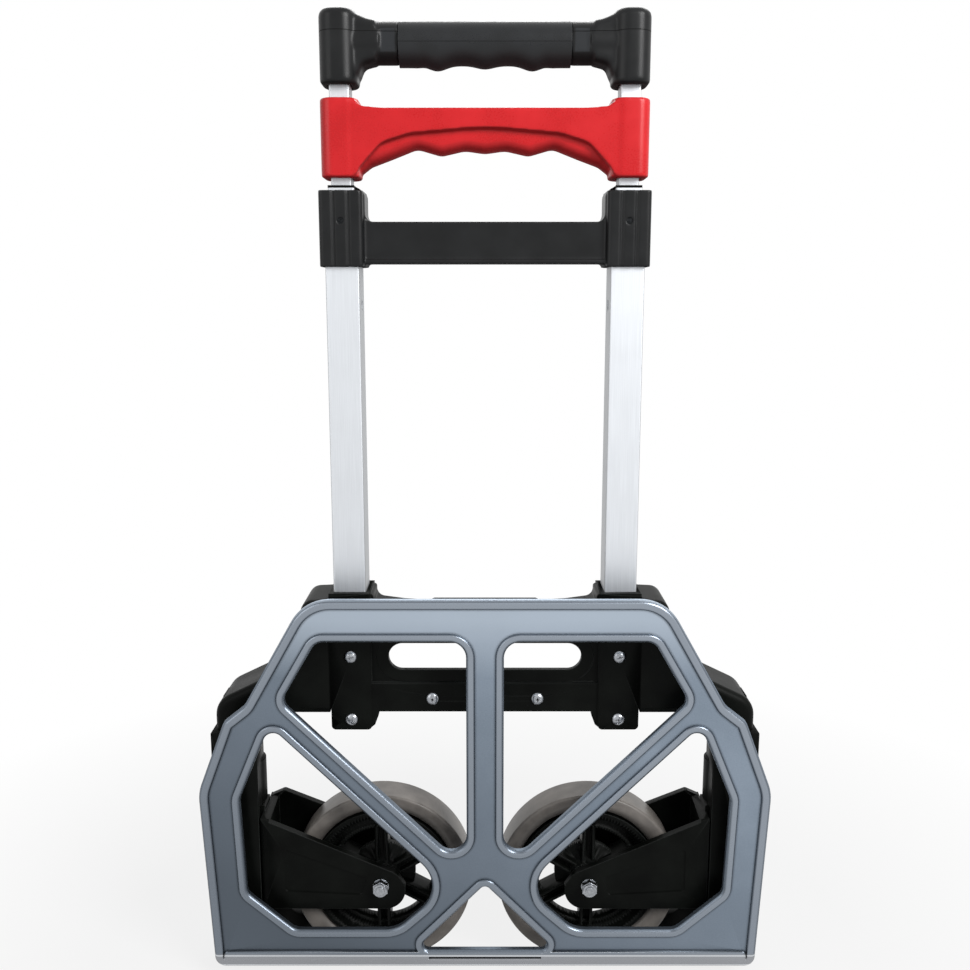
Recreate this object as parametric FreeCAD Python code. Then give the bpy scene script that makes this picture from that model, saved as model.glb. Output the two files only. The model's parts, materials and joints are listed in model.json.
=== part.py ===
import FreeCAD, Part
import math
import os

from FreeCAD import Vector

# Folding two-wheel hand truck, folded. Millimetres, +Z up, -Y to the front, origin on the
# floor at the middle of the width and of the folded thickness. Right-hand parts lie at +X.

# ---- overall ----
fold_depth = 64.0
front_y = -fold_depth / 2
back_y = fold_depth / 2
top_high_z = 648.0
slide_gap = 0.15             # flat faces that slide on each other
pin_gap = 0.05               # shaft in its bore
seat_gap = 0.1               # pieces pushed together and screwed
fold_gap = 1.0               # between parts that swing past each other
far = 1000.0                 # reach of a cutting tool, past the whole part
near = 0.001                 # two places this close are the same
past = 1.0                   # how far a cut runs past the face it opens, or a root into its seat

# ---- toe plate ----
toe_depth = 5.0
toe_bottom = 11.6
toe_top = 275.6
toe_half_foot = 187.3
toe_half_wide = toe_half_foot + 6.3
toe_wide_z = 140.8
toe_step_high = (toe_half_foot - 12.8, 191.3)
toe_step_low = (toe_half_foot - 26.8, 202.3)
toe_half_top = toe_half_foot - 68.4
toe_web = 3.3
toe_rim_proud = 1.7
toe_edge_width = 6.4         # bead along the outline
toe_bead_width = 5.6         # bead round a window
toe_bead_free_round = 2.6    # on the open side of a bead
toe_bead_web_round = 1.6     # on its side towards the web
toe_pad_low = toe_bottom + 2.0
toe_pad_high = toe_bottom + 11.4
toe_pad_in_x = 39.0
toe_pad_out_x = toe_half_foot - 6.3
post_half = 12.5
window_top = toe_top - 28.5
sill_low = toe_bottom + 27.7
sill_middle = toe_bottom + 12.4

# ---- toe plate hinge ----
toe_hinge_y = -14.0
toe_hinge_z = toe_hinge_y - front_y
toe_pin_r = 3.5
toe_lug_r = 8.0
toe_lug_width = 11.0
knuckle_r = toe_lug_r + 0.3

# ---- legs ----
leg_out_x = toe_half_foot + 0.2
leg_in_x = leg_out_x - 30.5
leg_front_y = -16.0
leg_back_y = 27.0
leg_top_z = 177.0
foot_front_y = -6.4
foot_block_z = 30.0
leg_wall = 6.0
leg_side_wall = 4.0
leg_boss_r = 15.0
leg_boss_high = 150.0
foot_flare = (7.0, leg_back_y - 15.0, leg_back_y)     # height of its toe, front and back

# ---- forks and wheels ----
wheel_r = 63.5
tyre_width = 25.0
tyre_thick = 13.5
tyre_shoulder = 2.5
wheel_y = 5.0
fork_axis_x = leg_out_x - 17.5
hinge_x = fork_axis_x + 2.0                           # middle of the toe hinge and of the tenon
axle_r = 4.0
fork_low_z = 45.8
fork_high_z = 117.8
fork_front_high_z = 113.8
fork_end_high_z = 72.4
fork_half_width = 20.5
fork_arm = 5.0
fork_web = 6.0
wheel_off_middle = 2.0       # of the space between the fork and the other wheel
axle_x = (leg_in_x - fold_gap - fork_web) / 2 - wheel_off_middle
fork_panel_deep = 1.2
fork_barrel_r = 12.0
fork_pin_r = 4.0
fork_pin_low_z = 24.5
fork_pin_high_z = 141.5
fork_neck_half = 9.0
fork_end = 17.0
lug_low_z = fork_low_z - 1.3
lug_high_z = fork_high_z + 1.7
hub_half = 13.4
hub_boss_r = 13.0
hub_rim = 4.5
hub_web_half = 3.0
hub_window_r = (23.0, 35.0)
hub_ring_r = (36.0, 39.0)
spoke_count = 6
spoke_width = 9.0
spoke_turn = 1.0             # degrees
spoke_rib = 2.0
spoke_rib_half = 9.0
bush_wall = 2.0
washer_r = 5.6
washer_thick = 1.2
nut_flat = 10.0
nut_high = 6.0
nut_collar = 1.6
bolt_head_high = 5.0
thread_r = 3.0

# ---- top handle ----
top_low_z = top_high_z - 45.5
top_half_width = 12.0
top_front_y = -2.0
top_back_y = 29.5
grip_z = top_high_z - 19.0
grip_r = 13.4
grip_wall = 2.6
grip_half = 54.5
facet_end_x = grip_half + 12.0
facet_deep = 2.3
gusset_half = 12.0
gusset_round = 5.0
finger_r = 13.0
fingers = ((-30.2, 3.6), (0.0, 2.1), (30.2, 3.6))     # place and drop
grip_end_drop = 1.3
spigot_low_z = top_low_z + 14.0

# ---- release handle ----
release_high_z = top_low_z - 8.2
release_low_z = release_high_z - 48.8
release_half_width = 12.4
release_front_y = -1.0
release_back_y = 30.0
release_bar_high = release_high_z - 6.3
release_travel = 8.0
finger_round = 7.0
palm_arch = ((66.0, 21.3, 14.0), (48.0, 26.9, 30.0))  # out from the middle, up from below, round
palm_crest = 31.0
fingers_high = 32.0
release_pin_z = (release_low_z + release_high_z) / 2
release_pin_r = 2.5
release_rod_r = 3.6
release_coil_low_z = release_pin_z + release_pin_r + 3.0

# ---- telescopic tubes: width, depth, wall ----
tube_x = 92.5
tube_y = 14.5
outer_width = 22.0
outer_depth = 25.0
outer_wall = 1.2
middle_width = 16.9
middle_depth = 20.0
middle_wall = 1.0
inner_width = 13.0
inner_depth = 16.0
inner_wall = 1.0
tube_round = 1.0
outer_low_z = 176.0
middle_low_z = 262.0
middle_high_z = release_low_z - 6.0
outer_high_z = middle_high_z - 5.5
inner_high_z = top_high_z - 10.0
middle_travel = 190.0
upper_travel = 175.0
cap_thick = 1.6
cap_sleeve = 18.0
bush_long = 20.0

# ---- lock pins ----
plug_long = 26.0
inner_low_z = middle_low_z + plug_long + 0.1
lock_height = 13.0           # above the lower end of the tube
middle_lock_z = middle_low_z + lock_height
inner_lock_z = inner_low_z + lock_height
middle_lock_r = 3.0
inner_lock_r = 2.5
lock_long = 7.0

# ---- lower frame ----
bar_low_z = 186.8
bar_high_z = 258.5
bar_crest_z = 260.0
bar_crest_half = 36.0
bar_front_y = 1.0
bar_foot_z = 208.0
bar_foot_proud = 2.0
bay_width = 27.0             # between the ribs behind the bar
bay_rib = 2.4
hand_slot_half = 66.5
hand_slot_low = 216.8
hand_slot_high = 236.0
hand_rim = 8.5
hand_rim_proud = 0.8
hand_back_low = 206.0
hand_back_high = 238.5
hand_back_half = 70.0
socket_wall = 3.0
socket_front_wall = 5.0
socket_low_z = 174.3
socket_lug_z = (socket_low_z + 9.7, socket_low_z + 14.7)
socket_high_z = 272.0
shoulder_high_z = 269.0
shoulder_front_y = -12.0
shoulder_x = leg_out_x - 2.5
arch_in_x = tube_x + outer_width / 2 + socket_wall
arch_low_z = bar_low_z + 2.4
arch_high = (197.5, 214.2, 246.0)                     # heights where its outline turns
arch_share = (0.44, 0.726, 0.785)                     # and how far in from the shoulder, of its span
arch_round = 5.0
arch_rib = (227.0, 231.0)
shell_wall = 3.5
cover_thick = 2.5
cover_inset = 1.0
tenon_width = 18.0
tenon_depth = 16.0
tenon_long = 22.0

# ---- upper crossbar ----
collar_high_z = outer_high_z + 3.6
collar_low_z = collar_high_z - 48.0
collar_wall = 3.2
collar_front_wall = 3.5
collar_round = 3.0
beam_low_z = collar_low_z + 2.2
beam_high_z = beam_low_z + 26.6
beam_front_y = 4.0
beam_back_y = 26.0
beam_lip = 1.2
cheek_x = 77.3
cheek_inset = 5.0
flute_count = 3
flute_deep = 1.2

# ---- fasteners ----
screw_head_r = 4.6
screw_head_high = 2.2
screw_r = 2.0
screw_arm = 2.6
screw_slot_half = 0.5
screw_recess = 1.0
socket_screw_z = (181.9, 227.2)
crossbar_screw_x = 36.4
crossbar_screw_z = 196.2
leg_screw_z = (leg_top_z + 6.0, leg_top_z + 16.0)
collar_screw_z = collar_low_z + 29.0
handle_screw_z = top_high_z - 20.0


def box(x0, x1, y0, y1, z0, z1):
    return Part.makeBox(x1 - x0, y1 - y0, z1 - z0, Vector(x0, y0, z0))


def rod_x(x0, x1, y, z, radius):
    return Part.makeCylinder(radius, x1 - x0, Vector(x0, y, z), Vector(1, 0, 0))


def rod_y(y0, y1, x, z, radius):
    return Part.makeCylinder(radius, y1 - y0, Vector(x, y0, z), Vector(0, 1, 0))


def rod_z(z0, z1, x, y, radius):
    return Part.makeCylinder(radius, z1 - z0, Vector(x, y, z0), Vector(0, 0, 1))


def mirrored(shape):
    return shape.mirror(Vector(0, 0, 0), Vector(1, 0, 0))


def rounded_wire(corners):
    """Closed wire in the plane Y = 0 through (x, z, radius) corners."""
    count = len(corners)
    starts = []
    mids = []
    ends = []
    for i in range(count):
        x, z, radius = corners[i]
        here = Vector(x, 0, z)
        back = (Vector(corners[i - 1][0], 0, corners[i - 1][1]) - here).normalize()
        ahead = (Vector(corners[(i + 1) % count][0], 0, corners[(i + 1) % count][1]) - here).normalize()
        half = back.getAngle(ahead) / 2
        reach = radius / math.tan(half)
        starts.append(here + back * reach)
        ends.append(here + ahead * reach)
        if radius > 0:
            bisector = (back + ahead).normalize()
            mids.append(here + bisector * (radius / math.sin(half) - radius))
        else:
            mids.append(here)
    edges = []
    for i in range(count):
        if corners[i][2] > 0:
            edges.append(Part.Arc(starts[i], mids[i], ends[i]).toShape())
        following = starts[(i + 1) % count]
        if ends[i].distanceToPoint(following) > near:
            edges.append(Part.LineSegment(ends[i], following).toShape())
    return Part.Wire(edges)


def plate(corners, y0, y1):
    face = Part.Face(rounded_wire(corners))
    face.translate(Vector(0, y0, 0))
    return face.extrude(Vector(0, y1 - y0, 0))


def grown(corners, offset, y0, y1):
    face = Part.Face(rounded_wire(corners)).makeOffset2D(offset)
    face.translate(Vector(0, y0, 0))
    return face.extrude(Vector(0, y1 - y0, 0))


def rounded_box(x0, x1, y0, y1, z0, z1, radius):
    """Box whose four upright edges are rounded."""
    solid = box(x0, x1, y0, y1, z0, z1)
    upright = [e for e in solid.Edges if abs(e.Vertexes[0].Z - e.Vertexes[1].Z) > near]
    return solid.makeFillet(radius, upright)


def edges_at_y(solid, y):
    return [e for e in solid.Edges if all(abs(v.Y - y) < near for v in e.Vertexes)]


def edges_at_z(solid, z):
    return [e for e in solid.Edges if all(abs(v.Z - z) < near for v in e.Vertexes)]


def joined(shapes):
    return shapes[0].multiFuse(shapes[1:]).removeSplitter()


def mirror_corners(corners):
    return [(-x, z, r) for x, z, r in reversed(corners)]


# ---------------------------------------------------------------- toe plate

def toe_outline():
    right = [
        (toe_half_foot, toe_bottom, 7.0),
        (toe_half_wide, toe_wide_z, 32.0),
        (toe_step_high[0], toe_step_high[1], 8.0),
        (toe_step_low[0], toe_step_low[1], 14.0),
        (toe_half_top, toe_top, 30.0),
    ]
    return right + mirror_corners(right)


def upper_window():
    return [
        (post_half, window_top, 11.0),
        (post_half, 83.5, 10.5),
        (toe_half_foot - 51.7, 205.6, 8.0),
        (toe_half_foot - 75.7, window_top, 9.0),
    ]


def lower_window():
    return [
        (toe_half_foot - 43.1, 188.8, 7.0),
        (25.8, 71.2, 23.0),
        (61.3, sill_low, 20.0),
        (toe_half_foot - 56.0, sill_low, 10.0),
        (toe_half_foot - 23.8, 67.2, 8.0),
        (toe_half_foot - 21.1, 135.8, 12.0),
    ]


def middle_window():
    return [(48.5, sill_middle, 4.0), (0.0, 73.4, 4.0), (-48.5, sill_middle, 4.0)]


def front_loops(ring):
    """Edges of the front face of a bead: the inner loop, then the outer one."""
    front = [f for f in ring.Faces if f.BoundBox.YMax < front_y + near][0]
    return [w.Edges for w in sorted(front.Wires, key=lambda w: w.BoundBox.DiagonalLength)]


def toe_bead(outside, inside, free_loop):
    """One bead, rounder on its open side; free_loop is 0 round a window and 1 along the outline."""
    ring = outside.cut(inside)
    ring = ring.makeFillet(toe_bead_free_round, front_loops(ring)[free_loop])
    return ring.makeFillet(toe_bead_web_round, front_loops(ring)[1 - free_loop])


def toe_lug(x):
    half = toe_lug_width / 2
    root_y = front_y + toe_rim_proud + toe_web - 1.0
    head = rod_x(x - half, x + half, toe_hinge_y, toe_hinge_z, toe_lug_r)
    neck = box(x - half, x + half, root_y, toe_hinge_y, toe_bottom + 2.0, toe_hinge_z + toe_lug_r)
    return head.fuse(neck)


def toe_pad():
    """Flat pad along the lower edge, level with the beads."""
    corners = [
        (toe_pad_in_x, toe_pad_low, 1.5), (toe_pad_out_x, toe_pad_low, 1.5), (toe_pad_out_x, toe_pad_high, 2.5),
        (toe_pad_in_x, toe_pad_high, 2.5),
    ]
    return plate(corners, front_y, front_y + toe_rim_proud + 0.5)


def make_toe_plate():
    outline = toe_outline()
    windows = [upper_window(), mirror_corners(upper_window())]
    windows += [lower_window(), mirror_corners(lower_window()), middle_window()]
    rim_back = front_y + toe_depth
    web_front = front_y + toe_rim_proud
    web = plate(outline, web_front, web_front + toe_web)
    for window in windows:
        web = web.cut(plate(window, front_y - past, rim_back + past))
    inner = grown(outline, -toe_edge_width, front_y, rim_back)
    rims = [toe_bead(plate(outline, front_y, rim_back), inner, 1)]
    for window in windows:
        hole = plate(window, front_y, rim_back)
        rims.append(toe_bead(grown(window, toe_bead_width, front_y, rim_back), hole, 0))
    lugs = [toe_lug(hinge_x), toe_lug(-hinge_x)]
    solid = joined([web] + rims + lugs + [toe_pad(), mirrored(toe_pad())])
    for side in (-1, 1):
        x = side * hinge_x
        bore = rod_x(x - toe_lug_width, x + toe_lug_width, toe_hinge_y, toe_hinge_z, toe_pin_r + pin_gap)
        solid = solid.cut(bore)
    return solid


# ---------------------------------------------------------------- legs and hinges

def leg_side(points, x0, x1):
    wire = Part.makePolygon([Vector(x0, y, z) for y, z in points + points[:1]])
    return Part.Face(wire).extrude(Vector(x1 - x0, 0, 0))


def upright(points, z0, z1):
    wire = Part.makePolygon([Vector(x, y, z0) for x, y in points + points[:1]])
    return Part.Face(wire).extrude(Vector(0, 0, z1 - z0))


def foot_gusset():
    """Foot plate that spreads inwards under the sweep of the wheel."""
    toe_high, front, back = foot_flare
    corners = [
        (leg_in_x + 1.0, 0, 0), (leg_in_x - 40.0, 0, 0), (leg_in_x - 37.0, toe_high, 2.0),
        (leg_in_x - 28.5, toe_high + 11.0, 8.0), (leg_in_x - 14.0, foot_block_z - 1.0, 4.0),
        (leg_in_x + 1.0, foot_block_z - 1.0, 0),
    ]
    return plate(corners, front, back)


def make_leg():
    low = leg_side([
        (foot_front_y, 0), (leg_back_y, 0), (leg_back_y, lug_low_z), (leg_front_y, lug_low_z),
        (leg_front_y, 32.0), (toe_hinge_y - knuckle_r, 26.0), (toe_hinge_y - knuckle_r, toe_hinge_z),
        (foot_front_y, toe_hinge_z),
    ], leg_in_x, leg_out_x)
    knuckle = rod_x(leg_in_x, leg_out_x, toe_hinge_y, toe_hinge_z, knuckle_r)
    front_wall = box(leg_in_x, leg_out_x, leg_front_y, leg_front_y + leg_wall, foot_block_z, leg_top_z)
    wall_back = wheel_y + fork_barrel_r - 1.0
    outer_wall = box(leg_out_x - leg_side_wall, leg_out_x, leg_front_y, wall_back, foot_block_z, leg_top_z)
    high = upright([
        (leg_in_x, leg_front_y), (leg_out_x, leg_front_y), (leg_out_x, leg_back_y),
        (leg_in_x + 9.0, leg_back_y), (leg_in_x, wheel_y + 3.0),
    ], lug_high_z, leg_top_z)
    boss = rod_z(lug_high_z, leg_boss_high, fork_axis_x, wheel_y, leg_boss_r)
    tenon = box(hinge_x - tenon_width / 2, hinge_x + tenon_width / 2,
                wheel_y - tenon_depth / 2, wheel_y + tenon_depth / 2,
                leg_top_z - past, leg_top_z + tenon_long)
    solid = joined([low, knuckle, front_wall, outer_wall, high, boss, tenon, foot_gusset()])
    slot_half = toe_lug_width / 2 + 0.4
    slot_back = toe_hinge_y + toe_lug_r + 0.8
    lug_slot = box(hinge_x - slot_half, hinge_x + slot_half, front_y, slot_back, -past, foot_block_z - 1.0)
    solid = solid.cut(lug_slot)
    solid = solid.cut(rod_x(leg_in_x + 2, leg_out_x + past, toe_hinge_y, toe_hinge_z, toe_pin_r + pin_gap))
    pin_bore = rod_z(fork_pin_low_z - 0.5, fork_pin_high_z + 0.5, fork_axis_x, wheel_y, fork_pin_r + pin_gap)
    solid = solid.cut(pin_bore)
    pocket_low = foot_block_z + 3.5
    pocket = rod_z(pocket_low, lug_low_z + past, fork_axis_x, wheel_y, fork_barrel_r - 1.0)
    mouth = box(leg_in_x - past, fork_axis_x, wheel_y - fork_neck_half, wheel_y + fork_neck_half,
                pocket_low, lug_low_z + past)
    solid = solid.cut(pocket).cut(mouth)
    for z in leg_screw_z:
        solid = solid.cut(rod_y(wheel_y - 4, back_y, hinge_x, z, screw_r))
    return solid


def make_toe_pin():
    return rod_x(leg_in_x + 2.5, leg_out_x - 0.5, toe_hinge_y, toe_hinge_z, toe_pin_r)


def make_fork_pin():
    return rod_z(fork_pin_low_z, fork_pin_high_z, fork_axis_x, wheel_y, fork_pin_r)


def make_fork_spring():
    """Torsion spring in the pocket under the fork, both ends standing out of the mouth."""
    wire_r = 1.1
    coil_r = 7.5
    pitch = 2.5
    turns = 3.5
    low_leg = 9.0
    high_leg = 21.0
    low_z = foot_block_z + 5.0
    helix = Part.makeHelix(pitch, pitch * turns, coil_r)
    section = Part.Wire(Part.makeCircle(wire_r, Vector(coil_r, 0, 0), Vector(0, 1, 0)))
    coil = Part.Wire(helix.Edges).makePipeShell([section], True, True)
    low = Part.makeCylinder(wire_r, low_leg, Vector(coil_r, 0, 0), Vector(0, -1, 0))
    high = Part.makeCylinder(wire_r, high_leg, Vector(-coil_r, 0, pitch * turns), Vector(0, -1, 0))
    spring = coil.multiFuse([low, high])
    spring.rotate(Vector(0, 0, 0), Vector(0, 0, 1), -90)
    spring.translate(Vector(fork_axis_x, wheel_y, low_z))
    return spring


# ---------------------------------------------------------------- forks and wheels

def fork_side(high_corners, y0, y1):
    end_x = axle_x - fork_end
    tip = [
        (end_x + 6.0, fork_end_high_z, 10.0), (end_x, fork_end_high_z - 9.0, 5.0),
        (end_x, fork_low_z, 14.0), (leg_in_x - fold_gap, fork_low_z, 0),
    ]
    return plate(high_corners + tip, y0, y1)


def fork_panel(y0, y1):
    """Sunk panel in the flank of a fork."""
    root_x = leg_in_x - fold_gap - 15.5
    end_x = axle_x + 9.8
    corners = [
        (root_x, 91.4, 2.0), (end_x, 69.3, 2.0), (end_x + 3.8, 56.0, 2.0), (root_x, 58.8, 2.0),
    ]
    return plate(corners, y0, y1)


def make_fork():
    front = fork_front()
    back = fork_back()
    root_x = leg_in_x - fold_gap
    front_arm = fork_side([(root_x, fork_front_high_z, 0)], front, front + fork_arm)
    crest = [(root_x, fork_high_z - 4.5, 0), (root_x - 10.0, fork_high_z, 3.0)]
    back_arm = fork_side(crest + [(axle_x + 2.0, fork_end_high_z + 16.0, 20.0)], back - fork_arm, back)
    web = box(root_x - fork_web, root_x, front, back, fork_low_z, fork_front_high_z)
    neck = box(root_x - past, fork_axis_x, wheel_y - fork_neck_half, wheel_y + fork_neck_half,
               fork_low_z, fork_high_z)
    barrel = rod_z(fork_low_z, fork_high_z, fork_axis_x, wheel_y, fork_barrel_r)
    solid = joined([front_arm, back_arm, web, neck, barrel])
    solid = solid.cut(fork_panel(front - past, front + fork_panel_deep))
    solid = solid.cut(fork_panel(back - fork_panel_deep, back + past))
    solid = solid.cut(rod_y(front - past, back + past, axle_x, wheel_r, axle_r + pin_gap))
    return solid.cut(rod_z(fork_low_z - past, fork_high_z + past, fork_axis_x, wheel_y, fork_pin_r + pin_gap))


def fork_front():
    return wheel_y - fork_half_width


def fork_back():
    return wheel_y + fork_half_width


def hexagon(flat, x, z, y0, y1):
    radius = flat / math.sqrt(3)
    points = [(x + radius * math.sin(math.radians(60 * k)), z + radius * math.cos(math.radians(60 * k)), 0)
              for k in range(6)]
    return plate(points, y0, y1)


def make_axle_bolt():
    shank = rod_y(fork_front(), fork_back(), axle_x, wheel_r, axle_r)
    thread = rod_y(fork_front() - washer_thick - nut_high - 0.6, fork_front(), axle_x, wheel_r, thread_r)
    head = hexagon(nut_flat + 3, axle_x, wheel_r, fork_back(), fork_back() + bolt_head_high)
    return joined([shank, thread, head])


def make_axle_nut():
    high = fork_front() - washer_thick
    body = hexagon(nut_flat, axle_x, wheel_r, high - nut_high + nut_collar, high)
    collar = rod_y(high - nut_high, high - nut_high + nut_collar, axle_x, wheel_r, nut_flat / 2 - 0.3)
    return joined([body, collar]).cut(rod_y(-far, far, axle_x, wheel_r, thread_r))


def make_axle_washers():
    front = rod_y(fork_front() - washer_thick, fork_front(), axle_x, wheel_r, washer_r)
    front = front.cut(rod_y(-far, far, axle_x, wheel_r, thread_r))
    rings = [front]
    side = fork_half_width - fork_arm - hub_half - 0.3
    for y in (fork_front() + fork_arm, fork_back() - fork_arm - side):
        ring = rod_y(y, y + side, axle_x, wheel_r, axle_r + 3.0)
        rings.append(ring.cut(rod_y(-far, far, axle_x, wheel_r, axle_r + pin_gap)))
    return Part.makeCompound(rings)


def revolved(points):
    """Ring turned about the wheel axle from (radius, y) points."""
    wire = Part.makePolygon([Vector(axle_x + r, wheel_y + y, wheel_r) for r, y in points + points[:1]])
    return Part.Face(wire).revolve(Vector(axle_x, wheel_y, wheel_r), Vector(0, 1, 0), 360)


def make_tyre():
    inner = wheel_r - tyre_thick
    half = tyre_width / 2
    steps = 8
    crown = []
    for k in range(steps + 1):
        angle = math.radians(180.0 * k / steps)
        crown.append((wheel_r - half + 1.5 + (half - 1.5) * math.sin(angle), -half * math.cos(angle)))
    seat = half - tyre_shoulder
    section = [(inner, -seat), (inner + 1.5, -half)] + crown + [(inner + 1.5, half), (inner, seat)]
    return revolved(section)


def make_hub():
    outer = wheel_r - tyre_thick
    inner = outer - hub_rim
    rim_half = tyre_width / 2 - tyre_shoulder
    bore = axle_r + bush_wall
    ring_in, ring_out = hub_ring_r
    side = [(hub_boss_r, hub_half), (hub_boss_r, hub_web_half), (ring_in, hub_web_half),
            (ring_in, hub_web_half + 2.0), (ring_out, hub_web_half + 2.0), (ring_out, hub_web_half),
            (inner, hub_web_half), (inner, rim_half), (outer, rim_half)]
    front = [(r, -y) for r, y in side]
    back = list(reversed(side))
    body = revolved([(bore, -hub_half)] + front + back + [(bore, hub_half)])
    window = hub_window(*hub_window_r)
    for k in range(spoke_count):
        cut = window.copy()
        cut.rotate(Vector(axle_x, 0, wheel_r), Vector(0, 1, 0), 360.0 * k / spoke_count + spoke_turn)
        body = body.cut(cut)
    rib = spoke_ribs()
    for k in range(spoke_count):
        spoke = rib.copy()
        spoke.rotate(Vector(axle_x, 0, wheel_r), Vector(0, 1, 0), 360.0 * (k + 0.5) / spoke_count + spoke_turn)
        body = body.fuse(spoke)
    return body.removeSplitter()


def spoke_ribs():
    """Two ribs along the edges of one spoke, from the boss to the raised ring."""
    low_x = axle_x + hub_boss_r - past
    high_x = axle_x + hub_ring_r[1] - past
    out = spoke_width / 2
    ribs = [box(low_x, high_x, wheel_y - spoke_rib_half, wheel_y + spoke_rib_half, z, z + spoke_rib)
            for z in (wheel_r - out, wheel_r + out - spoke_rib)]
    return ribs[0].fuse(ribs[1])


def hub_window(low_r, high_r):
    """Opening between two spokes, with sides that run along the spokes."""
    half_angle = math.radians(180.0 / spoke_count)
    ends = []
    for radius in (low_r, high_r):
        angle = half_angle - math.asin(spoke_width / 2 / radius)
        ends.append((radius, angle))
    side_y = wheel_y - hub_half
    points = []
    for radius, angle in ends:
        points.append(Vector(axle_x + radius * math.cos(angle), side_y, wheel_r + radius * math.sin(angle)))
    low_mid = Vector(axle_x + low_r, side_y, wheel_r)
    high_mid = Vector(axle_x + high_r, side_y, wheel_r)
    below = [Vector(p.x, p.y, 2 * wheel_r - p.z) for p in points]
    wire = Part.Wire([
        Part.LineSegment(points[0], points[1]).toShape(),
        Part.Arc(points[1], high_mid, below[1]).toShape(),
        Part.LineSegment(below[1], below[0]).toShape(),
        Part.Arc(below[0], low_mid, points[0]).toShape(),
    ])
    return Part.Face(wire).extrude(Vector(0, 2 * hub_half, 0))


def make_wheel_bush():
    sleeve = rod_y(wheel_y - hub_half - 0.2, wheel_y + hub_half + 0.2, axle_x, wheel_r, axle_r + bush_wall)
    return sleeve.cut(rod_y(-far, far, axle_x, wheel_r, axle_r + pin_gap))


# ---------------------------------------------------------------- telescopic tubes

def tube_box(width, depth, z0, z1):
    return box(tube_x - width / 2, tube_x + width / 2, tube_y - depth / 2, tube_y + depth / 2, z0, z1)


def square_tube(width, depth, wall, z0, z1):
    outside = rounded_box(tube_x - width / 2, tube_x + width / 2, tube_y - depth / 2, tube_y + depth / 2,
                          z0, z1, tube_round)
    return outside.cut(tube_box(width - 2 * wall, depth - 2 * wall, z0 - past, z1 + past))


def side_hole(width, wall, z, radius):
    """Round hole through the wall of a tube that faces the other tube."""
    face = tube_x - width / 2
    return rod_x(face - past, face + wall + past, tube_y, z, radius)


def make_outer_tube():
    tube = square_tube(outer_width, outer_depth, outer_wall, outer_low_z, outer_high_z)
    hole = side_hole(outer_width, outer_wall, middle_lock_z + middle_travel, middle_lock_r + 0.6)
    tube = tube.cut(hole)
    for z in socket_screw_z:
        tube = tube.cut(rod_y(tube_y - outer_depth, tube_y, tube_x, z, screw_r))
    return tube.cut(rod_y(tube_y - outer_depth, tube_y, tube_x, collar_screw_z, screw_r))


def make_tube_bush():
    width = outer_width - 2 * outer_wall - 2 * seat_gap
    depth = outer_depth - 2 * outer_wall - 2 * seat_gap
    sleeve = tube_box(width, depth, outer_high_z - bush_long, outer_high_z)
    return sleeve.cut(tube_box(middle_width + 2 * slide_gap, middle_depth + 2 * slide_gap, 0, far))


def make_middle_tube():
    tube = square_tube(middle_width, middle_depth, middle_wall, middle_low_z, middle_high_z)
    tube = tube.cut(side_hole(middle_width, middle_wall, inner_lock_z + upper_travel, inner_lock_r + 0.6))
    return tube.cut(side_hole(middle_width, middle_wall, middle_lock_z, middle_lock_r + 0.1))


def make_tube_cap():
    width = middle_width - 2 * middle_wall - 2 * seat_gap
    depth = middle_depth - 2 * middle_wall - 2 * seat_gap
    plate_low = middle_high_z
    top = tube_box(middle_width, middle_depth, plate_low, plate_low + cap_thick)
    sleeve = tube_box(width, depth, plate_low - cap_sleeve, plate_low + 0.5)
    side = tube_x - middle_width / 2
    tongue_y = 5.0
    foot_z = collar_high_z + pin_gap
    tongue = plate([
        (side + 0.5, plate_low + cap_thick, 0), (side - 3.0, foot_z + cap_thick, 0), (side - 3.0, foot_z, 0),
        (side - 1.4, foot_z, 0), (side, plate_low, 0), (side + 0.5, plate_low, 0),
    ], tube_y - tongue_y, tube_y + tongue_y)
    solid = joined([top, sleeve, tongue])
    return solid.cut(tube_box(inner_width + 2 * slide_gap, inner_depth + 2 * slide_gap, 0, far))


def lock_plug(width, depth, wall, low_z, pin_r):
    plug_width = width - 2 * wall - 2 * seat_gap
    plug_depth = depth - 2 * wall - 2 * seat_gap
    plug = tube_box(plug_width, plug_depth, low_z, low_z + plug_long)
    side = tube_x - plug_width / 2
    return plug.cut(rod_x(side - past, tube_x + 3.5, tube_y, low_z + lock_height, pin_r + pin_gap))


def make_middle_plug():
    return lock_plug(middle_width, middle_depth, middle_wall, middle_low_z, middle_lock_r)


def make_inner_plug():
    return lock_plug(inner_width, inner_depth, inner_wall, inner_low_z, inner_lock_r)


def make_middle_lock_pin():
    tip = tube_x - outer_width / 2 + outer_wall + 0.3
    return rod_x(tip, tip + lock_long, tube_y, middle_lock_z, middle_lock_r)


def make_inner_lock_pin():
    tip = tube_x - middle_width / 2 + middle_wall + 0.3
    return rod_x(tip, tip + lock_long, tube_y, inner_lock_z, inner_lock_r)


def make_inner_tube():
    tube = square_tube(inner_width, inner_depth, inner_wall, inner_low_z, inner_high_z)
    tube = tube.cut(side_hole(inner_width, inner_wall, inner_lock_z, inner_lock_r + 0.1))
    slot_r = release_pin_r + 0.3
    low = release_pin_z
    high = low + release_travel
    front = tube_y - inner_depth
    slot = joined([
        rod_y(front, tube_y + inner_depth, tube_x, low, slot_r),
        rod_y(front, tube_y + inner_depth, tube_x, high, slot_r),
        box(tube_x - slot_r, tube_x + slot_r, front, tube_y + inner_depth, low, high),
    ])
    screw = rod_y(tube_y, tube_y + inner_depth, tube_x, handle_screw_z, screw_r + pin_gap)
    return tube.cut(slot).cut(screw)


# ---------------------------------------------------------------- release and top handle

def housing(half_width, front, back, z0, z1, radius):
    return rounded_box(tube_x - half_width, tube_x + half_width, front, back, z0, z1, radius)


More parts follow.
